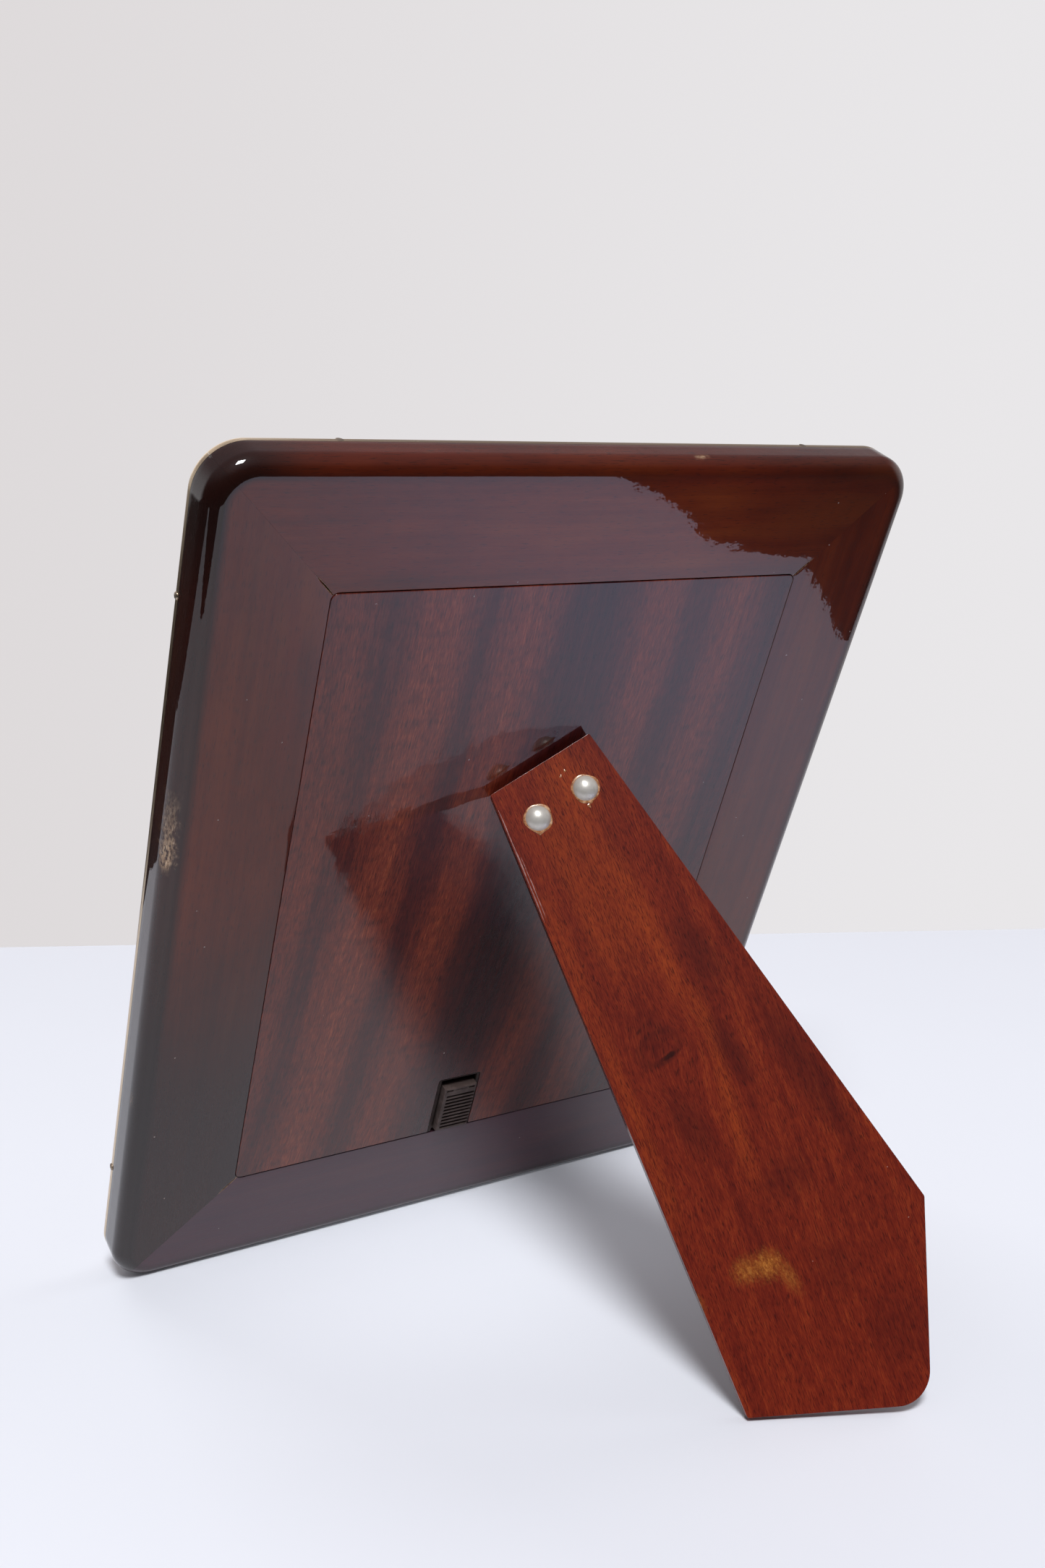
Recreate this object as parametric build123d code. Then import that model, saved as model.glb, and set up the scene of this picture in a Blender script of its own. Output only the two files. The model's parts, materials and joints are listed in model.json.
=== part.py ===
from build123d import *
import os
from math import acos, atan2, cos, degrees, hypot, radians, sin

# Easel-back picture frame. Everything is drawn in the frame's own plane first: x to the right
# as seen from behind, y up the frame, z out of the back, origin at the centre of the back face.
# stand() then leans the whole frame back on its strut, with +Z up and the picture facing -Y.

# Wooden frame (mm)
FRAME_W, FRAME_H = 225.0, 276.0
BORDER = 36.0
WOOD_DEPTH = 13.4
CORNER_R = 13.0
BACK_ROUND = 5.5
REBATE_DEPTH = 10.4
REBATE_R = 2.4

# Back panel and what lies in front of it
SEAM = 0.4
PANEL_W, PANEL_H = FRAME_W - 2 * BORDER - 2 * SEAM, FRAME_H - 2 * BORDER - 2 * SEAM
PANEL_R = 2.0
VENEER_T, CORE_T, LINING_T = 0.6, 4.0, 0.5
FILLER_T, PRINT_T, GLASS_T = 2.9, 0.3, 2.0
SHEET_INSET = 0.5

# Pressed metal front
COVER_T = 0.6
FLANGE = 3.2
FRONT_ROUND = 2.0
SIGHT_W, SIGHT_H = 140.0, 190.0
SLOPE_W, SLOPE_DROP = 10.0, 2.0

# Fixings
PIN_SHANK_R, PIN_HEAD_R, PIN_HEAD_T, PIN_LENGTH = 0.45, 1.1, 0.5, 7.0
PIN_FROM_FRONT = 2.0
PINS_UP_SIDE, PINS_ALONG_TOP = 97.0, 75.0
VNAIL_LEG, VNAIL_T, VNAIL_DEEP = 5.0, 0.5, 7.0
VNAIL_FROM_CORNER = (15.0, 29.0)
LOCATOR_R, LOCATOR_OUT, LOCATOR_IN, LOCATOR_SPAN = 1.0, 2.5, 8.0, 90.0
HOLE_GAP = 0.05

# Sliding catch
PAD_W, PAD_TOP, PAD_BOTTOM, PAD_PROUD = 12.0, -81.6, -100.0, 2.0
RECESS_W, RECESS_TOP, RECESS_DEPTH = 15.8, -78.6, 3.2
TRAY_T, TRAY_WALL, TRAY_LIP, TRAY_SUNK = 0.8, 0.6, 0.6, 0.15
CATCH_TRAVEL = 2.2
TONGUE_W, TONGUE_T, TONGUE_REACH = 8.0, 1.05, 1.8
RIB_COUNT, RIB_PITCH, RIB_GROOVE, RIB_DEEP = 10, 1.5, 0.75, 0.6

# Strut and its hinge
HINGE_TURN = 31.3
PIN_X, PIN_Y = 2.1, 39.2
OPEN_ANGLE = 51.0
STRUT_T = 3.4
STRUT_TOP = 34.6
KNUCKLE_R, HINGE_PIN_R, PIN_GAP = 1.6, 0.8, 0.05
PIN_OVER_PANEL, PIN_UNDER_STRUT = 2.0, 1.9
LEAF_T, LEAF_W, LEAF_LONG, LEAF_START = 0.8, 28.0, 16.0, 2.2
MIDDLE_KNUCKLE, KNUCKLE_GAP = 8.4, 0.3
STRUT_EDGE = 3.9
STRUT_OUTLINE = ((-STRUT_TOP / 2, STRUT_EDGE), (STRUT_TOP / 2, STRUT_EDGE),
                 (24.5, -159.1), (-6.9, -205.8), (-52.0, -179.5))
FOOT_R, KNEE_R = 10.0, 1.5
RIVET_SPOTS = ((-9.3, -9.2), (7.3, -9.2))
RIVET_R, RIVET_SHANK_R, RIVET_HEAD, BURR_R, BURR_T = 3.8, 1.6, 2.3, 2.6, 0.7
SCREW_SPOTS = ((-9.5, -6.5), (9.5, -6.5), (0.0, -12.5))
SCREW_R, SCREW_HEAD_R, SCREW_LONG = 0.9, 1.7, 4.0

# Levels, from the back face (z = 0) towards the front
CORE_TOP = -VENEER_T
LINING_TOP = CORE_TOP - CORE_T
FILLER_BOTTOM = -REBATE_DEPTH + GLASS_T + PRINT_T
COVER_FRONT = -WOOD_DEPTH - COVER_T


def slab(width, height, z_low, z_high, radius=0.0):
    """A plate centred on the frame, between two levels, with rounded corners if asked for."""
    outline = RectangleRounded(width, height, radius) if radius else Rectangle(width, height)
    return extrude(Pos(0, 0, z_low) * outline, amount=z_high - z_low)


def block(x_low, x_high, y_low, y_high, z_low, z_high):
    """A box given by its limits."""
    size = Box(x_high - x_low, y_high - y_low, z_high - z_low)
    return Pos((x_low + x_high) / 2, (y_low + y_high) / 2, (z_low + z_high) / 2) * size


def slope(width, height, z_face, drop, run):
    """The tapering space above a bevel that falls from z_face towards the sight opening."""
    wide = Pos(0, 0, z_face) * Rectangle(width + 2 * run, height + 2 * run)
    narrow = Pos(0, 0, z_face + drop) * Rectangle(width, height)
    return loft([wide.face(), narrow.face()])


def edges_at(shape, level):
    """The edges that lie wholly at one level."""
    return shape.edges().filter_by_position(Axis.Z, level - 0.01, level + 0.01)


def wood_ring():
    """The four mitred members as one ring, before it is cut at the corners."""
    ring = slab(FRAME_W, FRAME_H, -WOOD_DEPTH, 0, CORNER_R)
    ring = fillet(edges_at(ring, 0), BACK_ROUND)
    step = slab(FRAME_W + 10, FRAME_H + 10, -WOOD_DEPTH - 1, COVER_FRONT + FLANGE)
    inner = slab(FRAME_W - 2 * COVER_T, FRAME_H - 2 * COVER_T, -WOOD_DEPTH, 0, CORNER_R - COVER_T)
    inner = fillet(edges_at(inner, -WOOD_DEPTH), FRONT_ROUND - COVER_T)
    ring -= step - inner
    wide, high = FRAME_W - 2 * BORDER, FRAME_H - 2 * BORDER
    ring -= slab(wide, high, -REBATE_DEPTH, 1, REBATE_R)
    sight_w, sight_h = SIGHT_W + 2 * COVER_T, SIGHT_H + 2 * COVER_T
    ring -= slab(sight_w, sight_h, -WOOD_DEPTH - 1, 0)
    ring -= slope(sight_w, sight_h, -WOOD_DEPTH, SLOPE_DROP, SLOPE_W)
    return ring


def cover_shell(ring):
    """The sheet that wraps the front, its sides and the edge of the sight opening."""
    shell = slab(FRAME_W, FRAME_H, COVER_FRONT, COVER_FRONT + FLANGE, CORNER_R)
    shell = fillet(edges_at(shell, COVER_FRONT), FRONT_ROUND)
    shell -= slab(SIGHT_W, SIGHT_H, COVER_FRONT - 1, 0)
    run = SLOPE_W + COVER_T
    shell -= slope(SIGHT_W, SIGHT_H, COVER_FRONT, SLOPE_DROP * run / SLOPE_W, run)
    return shell - ring


def mitre_wedge(side):
    """The region of one member: top, right, bottom or left of the two mitre lines."""
    reach, offset = 400.0, (FRAME_H - FRAME_W) / 2
    upper, lower = (0, offset), (0, -offset)
    corners = {
        "top": (upper, (reach, reach + offset), (-reach, reach + offset)),
        "bottom": (lower, (reach, -reach - offset), (-reach, -reach - offset)),
        "right": (upper, (reach, reach + offset), (reach, -reach - offset), lower),
        "left": (upper, (-reach, reach + offset), (-reach, -reach - offset), lower),
    }
    wedge = make_face(Polyline(*corners[side], close=True))
    return extrude(Pos(0, 0, -30) * wedge, amount=40)


def mitre_nails():
    """Two V-nails across each corner, driven in from the front and covered by the sheet."""
    nails = []
    low, high = -WOOD_DEPTH, -WOOD_DEPTH + VNAIL_DEEP
    for side_x in (-1, 1):
        for side_y in (-1, 1):
            for inset in VNAIL_FROM_CORNER:
                apex_x, apex_y = side_x * (FRAME_W / 2 - inset), side_y * (FRAME_H / 2 - inset)
                along_x = sorted((apex_x + side_x * VNAIL_T / 2, apex_x - side_x * VNAIL_LEG))
                along_y = sorted((apex_y + side_y * VNAIL_T / 2, apex_y - side_y * VNAIL_LEG))
                half = VNAIL_T / 2
                nail = block(*along_x, apex_y - half, apex_y + half, low, high)
                nail += block(apex_x - half, apex_x + half, *along_y, low, high)
                nails.append(nail)
    return nails


def pin_seats():
    """Where the cover pins go in: a plane on the side face, its normal pointing out."""
    level = COVER_FRONT + PIN_FROM_FRONT
    seats = []
    for side in (-1, 1):
        out_x, out_y = (side, 0, 0), (0, side, 0)
        for y in (-PINS_UP_SIDE, PINS_UP_SIDE):
            seats.append(Plane((side * FRAME_W / 2, y, level), x_dir=(0, 0, 1), z_dir=out_x))
        for x in (-PINS_ALONG_TOP, PINS_ALONG_TOP):
            seats.append(Plane((x, side * FRAME_H / 2, level), x_dir=(0, 0, 1), z_dir=out_y))
    return seats


def cover_pin(seat):
    """A small nail with its head against the flange."""
    shank = Pos(0, 0, -PIN_LENGTH / 2) * Cylinder(PIN_SHANK_R, PIN_LENGTH)
    head = Pos(0, 0, PIN_HEAD_T / 2) * Cylinder(PIN_HEAD_R, PIN_HEAD_T)
    return seat.location * (shank + head)


def pin_hole(seat):
    """The hole for a cover pin, through the flange and into the wood."""
    deep = PIN_LENGTH + 0.5
    return seat.location * (Pos(0, 0, 0.5 - deep / 2) * Cylinder(PIN_SHANK_R + HOLE_GAP, deep + 1))


def locators(radius, start, length):
    """The two pins in the panel's top edge, or the holes for them."""
    level = CORE_TOP - CORE_T / 2
    rods = []
    for x in (-LOCATOR_SPAN / 2, LOCATOR_SPAN / 2):
        rod = Rot(90, 0, 0) * Cylinder(radius, length)
        rods.append(Pos(x, start + length / 2, level) * rod)
    return rods


def catch_tray():
    """The moulded tray in the panel's recess, with lips that hold the slider down."""
    half = RECESS_W / 2 - 0.1
    top = RECESS_TOP - 0.1
    tray = block(-half, half, -PANEL_H / 2, top, -RECESS_DEPTH, -TRAY_SUNK)
    floor, lip = -RECESS_DEPTH + TRAY_T, -RECESS_DEPTH + TRAY_T + TONGUE_T + 0.25
    open_end = -PANEL_H / 2 - 1
    inside = half - TRAY_WALL
    tray -= block(-inside, inside, open_end, top - TRAY_WALL, floor, lip)
    tray -= block(TRAY_LIP - inside, inside - TRAY_LIP, open_end, top - TRAY_WALL, floor, 1)
    return tray


def catch_slider():
    """The ribbed thumb pad, its base plate and the tongue that enters the bottom rail."""
    floor = -RECESS_DEPTH + TRAY_T + 0.1
    base_top = floor + TONGUE_T
    base_half = RECESS_W / 2 - 0.1 - TRAY_WALL - 0.15
    slider = block(-base_half, base_half, -PANEL_H / 2 + 0.1, PAD_TOP - 0.4, floor, base_top)
    slider += block(-TONGUE_W / 2, TONGUE_W / 2, -PANEL_H / 2 - TONGUE_REACH,
                    -PANEL_H / 2 + 0.2, floor, base_top)
    pad = block(-PAD_W / 2, PAD_W / 2, PAD_BOTTOM, PAD_TOP, base_top, PAD_PROUD)
    pad = chamfer(edges_at(pad, PAD_PROUD), 0.35)
    for rib in range(RIB_COUNT):
        y = PAD_BOTTOM + 1.0 + rib * RIB_PITCH
        groove = block(-PAD_W, PAD_W, y, y + RIB_GROOVE, PAD_PROUD - RIB_DEEP, PAD_PROUD + 1)
        pad -= groove
    for x in (-4.2, 3.0):
        pad -= block(x, x + 1.2, PAD_TOP - 1.3, PAD_TOP - 0.8, PAD_PROUD - 0.5, PAD_PROUD + 1)
    return slider + pad


def hinge_plane():
    """On the panel under the hinge pin: x along the pin, y up the frame, z out of the back."""
    turn = radians(HINGE_TURN)
    return Plane((PIN_X, PIN_Y, 0), x_dir=(cos(turn), sin(turn), 0), z_dir=(0, 0, 1))


def strut_plane():
    """On the strut's inner face over the hinge pin: x along the pin, y up the strut."""
    base = hinge_plane()
    lift, swing = radians(OPEN_ANGLE), base.y_dir
    normal = swing * sin(lift) + base.z_dir * cos(lift)
    pin = base.origin + base.z_dir * PIN_OVER_PANEL
    return Plane(pin + normal * PIN_UNDER_STRUT, x_dir=base.x_dir, z_dir=normal)


def knuckle(x_low, x_high, level, radius=KNUCKLE_R):
    """A stretch of barrel on the pin's line."""
    barrel = Rot(0, 90, 0) * Cylinder(radius, x_high - x_low)
    return Pos((x_low + x_high) / 2, 0, level) * barrel


def fixed_leaf():
    """The leaf on the panel, with the two outer knuckles."""
    half, middle = LEAF_W / 2, MIDDLE_KNUCKLE / 2 + KNUCKLE_GAP
    leaf = block(-half, half, -LEAF_LONG, -LEAF_START, 0, LEAF_T)
    for low, high in ((-half, -middle), (middle, half)):
        leaf += block(low, high, -LEAF_START - 0.1, 0, 0, LEAF_T)
        leaf += knuckle(low, high, PIN_OVER_PANEL)
    leaf -= knuckle(-half - 1, half + 1, PIN_OVER_PANEL, HINGE_PIN_R + PIN_GAP)
    for x, y in SCREW_SPOTS:
        leaf -= Pos(x, y, 0) * screw_shape(HOLE_GAP)
    return hinge_plane().location * leaf


def moving_leaf():
    """The leaf on the strut, with the middle knuckle."""
    half, middle = LEAF_W / 2, MIDDLE_KNUCKLE / 2
    leaf = block(-half, half, -LEAF_LONG, -LEAF_START, -LEAF_T, 0)
    leaf += block(-middle, middle, -LEAF_START - 0.1, 0, -LEAF_T, 0)
    leaf += knuckle(-middle, middle, -PIN_UNDER_STRUT)
    leaf -= knuckle(-half, half, -PIN_UNDER_STRUT, HINGE_PIN_R + PIN_GAP)
    for x, y in RIVET_SPOTS:
        leaf -= Pos(x, y, 0) * Cylinder(RIVET_SHANK_R + HOLE_GAP, 4)
    return strut_plane().location * leaf


def hinge_pin():
    """The pin through the three knuckles."""
    half = LEAF_W / 2 - 0.2
    return hinge_plane().location * knuckle(-half, half, PIN_OVER_PANEL, HINGE_PIN_R)


def screw_shape(gap=0.0):
    """A countersunk screw with its head flush with the leaf, or its hole when gap is given."""
    long = SCREW_LONG + gap
    shank = Pos(0, 0, -long / 2 + LEAF_T / 2) * Cylinder(SCREW_R + gap, long + LEAF_T)
    head = Cone(SCREW_R + gap, SCREW_HEAD_R + gap, LEAF_T)
    return shank + Pos(0, 0, LEAF_T / 2) * head


def hinge_screws():
    """The screws that hold the fixed leaf to the panel, each with a straight slot."""
    screws = []
    for index, (x, y) in enumerate(SCREW_SPOTS):
        slot = Rot(0, 0, 40 * index) * Box(2 * SCREW_HEAD_R + 1, 0.4, 0.5)
        screw = Pos(x, y, 0) * (screw_shape() - Pos(0, 0, LEAF_T) * slot)
        screws.append(hinge_plane().location * screw)
    return screws


def strut_board():
    """The five-sided strut, its far corner rounded so that the frame stands either way up."""
    board = make_face(Polyline(*STRUT_OUTLINE, close=True))
    board = extrude(board, amount=STRUT_T)
    upright = board.edges().filter_by(Axis.Z)
    foot = upright.sort_by_distance((*STRUT_OUTLINE[3], STRUT_T / 2))[0]
    board = fillet(foot, FOOT_R)
    knee = board.edges().filter_by(Axis.Z).sort_by_distance((*STRUT_OUTLINE[2], STRUT_T / 2))[0]
    board = fillet(knee, KNEE_R)
    for x, y in RIVET_SPOTS:
        board -= Pos(x, y, STRUT_T / 2) * Cylinder(RIVET_SHANK_R + HOLE_GAP, STRUT_T + 1)
    return strut_plane().location * board


def dome(radius, height):
    """A shallow dome standing on z = 0."""
    ball = (radius**2 + height**2) / (2 * height)
    whole = Pos(0, 0, height - ball) * Sphere(ball)
    return whole & Pos(0, 0, height / 2) * Box(3 * radius, 3 * radius, height)


def rivets():
    """The two domed rivets, each through the strut and the moving leaf."""
    made = []
    for x, y in RIVET_SPOTS:
        long = STRUT_T + LEAF_T + BURR_T
        shank = Pos(0, 0, STRUT_T - long / 2) * Cylinder(RIVET_SHANK_R, long)
        head = Pos(0, 0, STRUT_T) * dome(RIVET_R, RIVET_HEAD)
        made.append(strut_plane().location * (Pos(x, y, 0) * (shank + head)))
    return made


def burrs():
    """The washers that the rivets are clinched over, under the moving leaf."""
    made = []
    for x, y in RIVET_SPOTS:
        washer = Cylinder(BURR_R, BURR_T) - Cylinder(RIVET_SHANK_R + HOLE_GAP, BURR_T + 1)
        made.append(strut_plane().location * (Pos(x, y, -LEAF_T - BURR_T / 2) * washer))
    return made


def stand_plane():
    """Where the frame's own plane lies once it leans on its strut.

    The lean is the one at which the rounded bottom edge and the foot's lower corner are both
    on the surface.
    """
    foot = strut_plane().from_local_coords((*STRUT_OUTLINE[4], 0))
    round_y, round_z = -FRAME_H / 2 + BACK_ROUND, -BACK_ROUND
    ahead, out = foot.Y - round_y, foot.Z - round_z
    lean = acos(-BACK_ROUND / hypot(ahead, out)) - atan2(out, ahead)
    centre_up = -(round_y * cos(lean) - round_z * sin(lean)) + BACK_ROUND
    return Plane((0, 0, centre_up), x_dir=(-1, 0, 0), z_dir=(0, cos(lean), -sin(lean))), lean


def build():
    """Every sub-part by name, in the frame's own plane."""
    ring = wood_ring()
    cover = cover_shell(ring)
    seats = pin_seats()
    holes = [pin_hole(seat) for seat in seats]
    nails = mitre_nails()
    locator_holes = locators(LOCATOR_R + 0.3, PANEL_H / 2, LOCATOR_OUT + SEAM + 0.6)
    keeper = block(-TONGUE_W / 2 - 0.4, TONGUE_W / 2 + 0.4, -PANEL_H / 2 - TONGUE_REACH - 0.8,
                   -PANEL_H / 2, -RECESS_DEPTH + TRAY_T - 0.2, -RECESS_DEPTH + TRAY_T + 1.45)
    ring -= holes + nails + locator_holes + [keeper]
    cover -= holes
    wide, high = PANEL_W - 2 * SHEET_INSET, PANEL_H - 2 * SHEET_INSET
    recess = block(-RECESS_W / 2, RECESS_W / 2, -PANEL_H, RECESS_TOP, -RECESS_DEPTH, 1)
    screw_holes = [hinge_plane().location * (Pos(x, y, 0) * screw_shape(HOLE_GAP))
                   for x, y in SCREW_SPOTS]
    core = slab(PANEL_W, PANEL_H, LINING_TOP, CORE_TOP, PANEL_R)
    core -= locators(LOCATOR_R + HOLE_GAP, PANEL_H / 2 - LOCATOR_IN, LOCATOR_IN + 1)
    parts = {name: ring & mitre_wedge(side) for name, side in (
        ("rail_top", "top"), ("rail_bottom", "bottom"),
        ("stile_left", "left"), ("stile_right", "right"))}
    parts |= {
        "mitre_nails": nails,
        "front_cover": cover,
        "cover_pins": [cover_pin(seat) for seat in seats],
        "glass_pane": slab(wide, high, -REBATE_DEPTH, -REBATE_DEPTH + GLASS_T),
        "picture_print": slab(wide, high, -REBATE_DEPTH + GLASS_T, FILLER_BOTTOM),
        "filler_card": slab(wide, high, FILLER_BOTTOM, FILLER_BOTTOM + FILLER_T),
        "panel_lining": slab(PANEL_W, PANEL_H, LINING_TOP - LINING_T, LINING_TOP, PANEL_R),
        "panel_core": core - ([recess] + screw_holes),
        "panel_veneer": slab(PANEL_W, PANEL_H, CORE_TOP, 0, PANEL_R) - ([recess] + screw_holes),
        "locating_pins": locators(LOCATOR_R, PANEL_H / 2 - LOCATOR_IN + 0.1,
                                  LOCATOR_IN + LOCATOR_OUT - 0.1),
        "catch_tray": catch_tray(),
        "catch_slider": catch_slider(),
        "hinge_fixed_leaf": fixed_leaf(),
        "hinge_moving_leaf": moving_leaf(),
        "hinge_pin": hinge_pin(),
        "hinge_screws": hinge_screws(),
        "strut_board": strut_board(),
        "strut_rivets": rivets(),
        "rivet_burrs": burrs(),
    }
    return parts


def stand(parts):
    """The parts leaning on the strut, centred over the origin, the lowest point at Z = 0."""
    plane, lean = stand_plane()
    placed = {}
    for name, solids in parts.items():
        solids = solids if isinstance(solids, list) else [solids]
        placed[name] = [plane.location * solid for solid in solids]
    box = Compound([solid for solids in placed.values() for solid in solids]).bounding_box()
    shift = Pos(-box.center().X, -box.center().Y, -box.min.Z)
    placed = {name: [shift * solid for solid in solids] for name, solids in placed.items()}
    return placed, shift * plane.location, lean


PARTS, STAND, LEAN = stand(build())
os.makedirs("parts", exist_ok=True)
for node, solids in PARTS.items():
    export_step(Compound(solids) if len(solids) > 1 else solids[0], f"parts/{node}.step")
print(f"lean {degrees(LEAN):.2f} degrees, {len(PARTS)} nodes")
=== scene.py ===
import json
import math
import bmesh
import bpy
from mathutils import Matrix, Vector, noise


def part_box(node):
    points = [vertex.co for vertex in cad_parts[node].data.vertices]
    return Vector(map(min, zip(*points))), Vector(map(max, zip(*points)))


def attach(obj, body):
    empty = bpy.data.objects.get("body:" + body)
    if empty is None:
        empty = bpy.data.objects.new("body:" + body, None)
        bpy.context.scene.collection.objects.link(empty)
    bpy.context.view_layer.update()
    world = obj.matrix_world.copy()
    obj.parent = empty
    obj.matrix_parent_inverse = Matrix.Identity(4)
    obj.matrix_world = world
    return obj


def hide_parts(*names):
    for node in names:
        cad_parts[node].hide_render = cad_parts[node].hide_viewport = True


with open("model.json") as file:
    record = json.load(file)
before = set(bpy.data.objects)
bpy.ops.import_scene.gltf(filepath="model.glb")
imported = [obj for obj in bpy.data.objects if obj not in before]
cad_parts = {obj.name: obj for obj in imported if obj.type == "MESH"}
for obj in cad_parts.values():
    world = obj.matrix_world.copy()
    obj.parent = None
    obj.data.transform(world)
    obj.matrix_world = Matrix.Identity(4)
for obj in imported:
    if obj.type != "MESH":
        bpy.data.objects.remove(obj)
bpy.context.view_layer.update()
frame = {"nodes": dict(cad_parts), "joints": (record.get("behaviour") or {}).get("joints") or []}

MM = 0.001

# --- spaces: local millimetres to the row frame ---------------------------------------------
# BACK: x right as seen from behind, y up the frame, z out of the back, origin mid back face.
# LEG: x along the hinge pin, y up the strut, z out of the strut, origin on its inner face.

JOINTS = {joint["name"]: joint for joint in frame["joints"]}
VENEER_T = 0.6
PIN_UNDER_STRUT = 1.9


def space(origin, x_dir, z_dir):
    """A matrix from local millimetres to the row frame."""
    x, z = Vector(x_dir).normalized(), Vector(z_dir).normalized()
    turn = Matrix((x, z.cross(x), z)).transposed().to_4x4()
    return Matrix.Translation(origin) @ turn @ Matrix.Scale(MM, 4)


def make_spaces():
    """The two local spaces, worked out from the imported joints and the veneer's box."""
    up = Vector(JOINTS["catch_slide"]["axis"]).normalized()
    out = Vector((0, up.z, -up.y))
    low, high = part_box("panel_veneer")
    back = space((low + high) / 2 + out * (VENEER_T / 2 * MM), up.cross(out), out)
    hinge = JOINTS["strut_hinge"]
    pin, along = Vector(hinge["pos_m"]), Vector(hinge["axis"]).normalized()
    swing = out.cross(along)
    opened = math.radians(max(hinge["range_deg"]))
    normal = swing * math.sin(opened) + out * math.cos(opened)
    over_pin = pin + normal * (PIN_UNDER_STRUT * MM)
    return back, space(over_pin, along, normal)


BACK, LEG = make_spaces()

# --- mesh helpers ---------------------------------------------------------------------------


def new_piece(name, verts, faces, body, material, where=BACK, grain=None, wear_and_shade=None,
              replaces=(), sharp=50):
    """A mesh piece from local millimetre points, riding on a body.

    grain holds each point's place in the material, in millimetres, x along the fibres.
    A second per-point value, 0 to 1, holds wear on the members and painted shade in the catch
    pad's grooves and under the pad. Edges over the sharp angle stay sharp.
    """
    mesh = bpy.data.meshes.new(name)
    mesh.from_pydata([where @ Vector(v) for v in verts], [], faces)
    mesh.validate()
    layer = mesh.attributes.new("grain", "FLOAT_VECTOR", "POINT")
    for i, p in enumerate(grain if grain is not None else verts):
        layer.data[i].vector = p
    if wear_and_shade is not None:
        layer = mesh.attributes.new("wear_and_shade", "FLOAT", "POINT")
        for i, value in enumerate(wear_and_shade):
            layer.data[i].value = value
    solid = bmesh.new()
    solid.from_mesh(mesh)
    bmesh.ops.recalc_face_normals(solid, faces=solid.faces)
    solid.to_mesh(mesh)
    solid.free()
    mesh.materials.append(material)
    obj = bpy.data.objects.new(name, mesh)
    bpy.context.scene.collection.objects.link(obj)
    mesh.shade_smooth()
    mesh.set_sharp_from_angle(angle=math.radians(sharp))
    weight = obj.modifiers.new("normals", "WEIGHTED_NORMAL")
    weight.keep_sharp = True
    weight.mode = "FACE_AREA"
    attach(obj, body)
    if replaces:
        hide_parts(*replaces)
    return obj


def merge(*shapes):
    """Several (verts, faces) shapes as one."""
    verts, faces = [], []
    for shape_verts, shape_faces in shapes:
        start = len(verts)
        verts += shape_verts
        faces += [tuple(i + start for i in face) for face in shape_faces]
    return verts, faces


def moved(shape, where):
    """A (verts, faces) shape moved by a matrix."""
    verts, faces = shape
    return [tuple(where @ Vector(v)) for v in verts], faces


def ring_faces(rings, size, closed=True):
    """Quads between rings of points that follow each other, each of the same size."""
    faces = []
    for r in range(rings - 1):
        for i in range(size if closed else size - 1):
            a, b = r * size + i, r * size + (i + 1) % size
            faces.append((a, b, b + size, a + size))
    return faces


def inset(outline, distance):
    """A closed outline moved inwards by a distance, its points kept in order."""
    made = []
    count = len(outline)
    for i, (x, y) in enumerate(outline):
        before, after = outline[i - 1], outline[(i + 1) % count]
        d1 = Vector((x - before[0], y - before[1])).normalized()
        d2 = Vector((after[0] - x, after[1] - y)).normalized()
        n1, n2 = Vector((-d1.y, d1.x)), Vector((-d2.y, d2.x))
        mean = (n1 + n2).normalized()
        reach = distance / max(mean.dot(n1), 0.3)
        made.append((x + mean.x * reach, y + mean.y * reach))
    return made


def rounded_outline(corners, radii, steps=8):
    """An anticlockwise outline through the corners, each rounded by its own radius."""
    made = []
    count = len(corners)
    for i, radius in enumerate(radii):
        here = Vector(corners[i])
        before, after = Vector(corners[i - 1]), Vector(corners[(i + 1) % count])
        a, b = (before - here).normalized(), (after - here).normalized()
        half = a.angle(b) / 2
        centre = here + (a + b).normalized() * (radius / math.sin(half))
        start = here + a * (radius / math.tan(half)) - centre
        end = here + b * (radius / math.tan(half)) - centre
        turn = start.angle_signed(end)
        for k in range(steps + 1):
            angle = -turn * k / steps
            c, s = math.cos(angle), math.sin(angle)
            made.append((centre.x + start.x * c - start.y * s,
                         centre.y + start.x * s + start.y * c))
    return made


def quarter_turn(steps):
    """(sine, cosine) pairs over a quarter turn."""
    turns = [math.pi / 2 * k / steps for k in range(steps + 1)]
    return [(math.sin(a), math.cos(a)) for a in turns]


def slab(outline, low, high, bevel, steps=3, bottom_bevel=None):
    """A closed plate over an anticlockwise outline, its long edges rounded."""
    under = bevel if bottom_bevel is None else bottom_bevel
    turns = quarter_turn(steps)
    levels = [(under * (1 - sine), low + under * (1 - cosine)) for sine, cosine in turns]
    levels += [(bevel * (1 - cosine), high - bevel * (1 - sine)) for sine, cosine in turns]
    size = len(outline)
    verts = []
    for distance, z in levels:
        verts += [(x, y, z) for x, y in inset(outline, distance)]
    faces = ring_faces(len(levels), size)
    top = (len(levels) - 1) * size
    faces.append(tuple(range(size - 1, -1, -1)))
    faces.append(tuple(range(top, top + size)))
    return verts, faces


def lathe(profile, segments=32, wobble=None):
    """A closed solid of revolution about z. The profile runs (radius, z) from axis to axis."""
    verts = [(0, 0, profile[0][1])]
    for radius, z in profile[1:-1]:
        for k in range(segments):
            a = 2 * math.pi * k / segments
            grown = radius * (wobble(a) if wobble else 1.0)
            verts.append((grown * math.cos(a), grown * math.sin(a), z))
    verts.append((0, 0, profile[-1][1]))
    last = len(verts) - 1
    faces = [(0, 1 + (k + 1) % segments, 1 + k) for k in range(segments)]
    faces += [tuple(i + 1 for i in face) for face in ring_faces(len(profile) - 2, segments)]
    base = 1 + (len(profile) - 3) * segments
    faces += [(base + k, base + (k + 1) % segments, last) for k in range(segments)]
    return verts, faces


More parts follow.
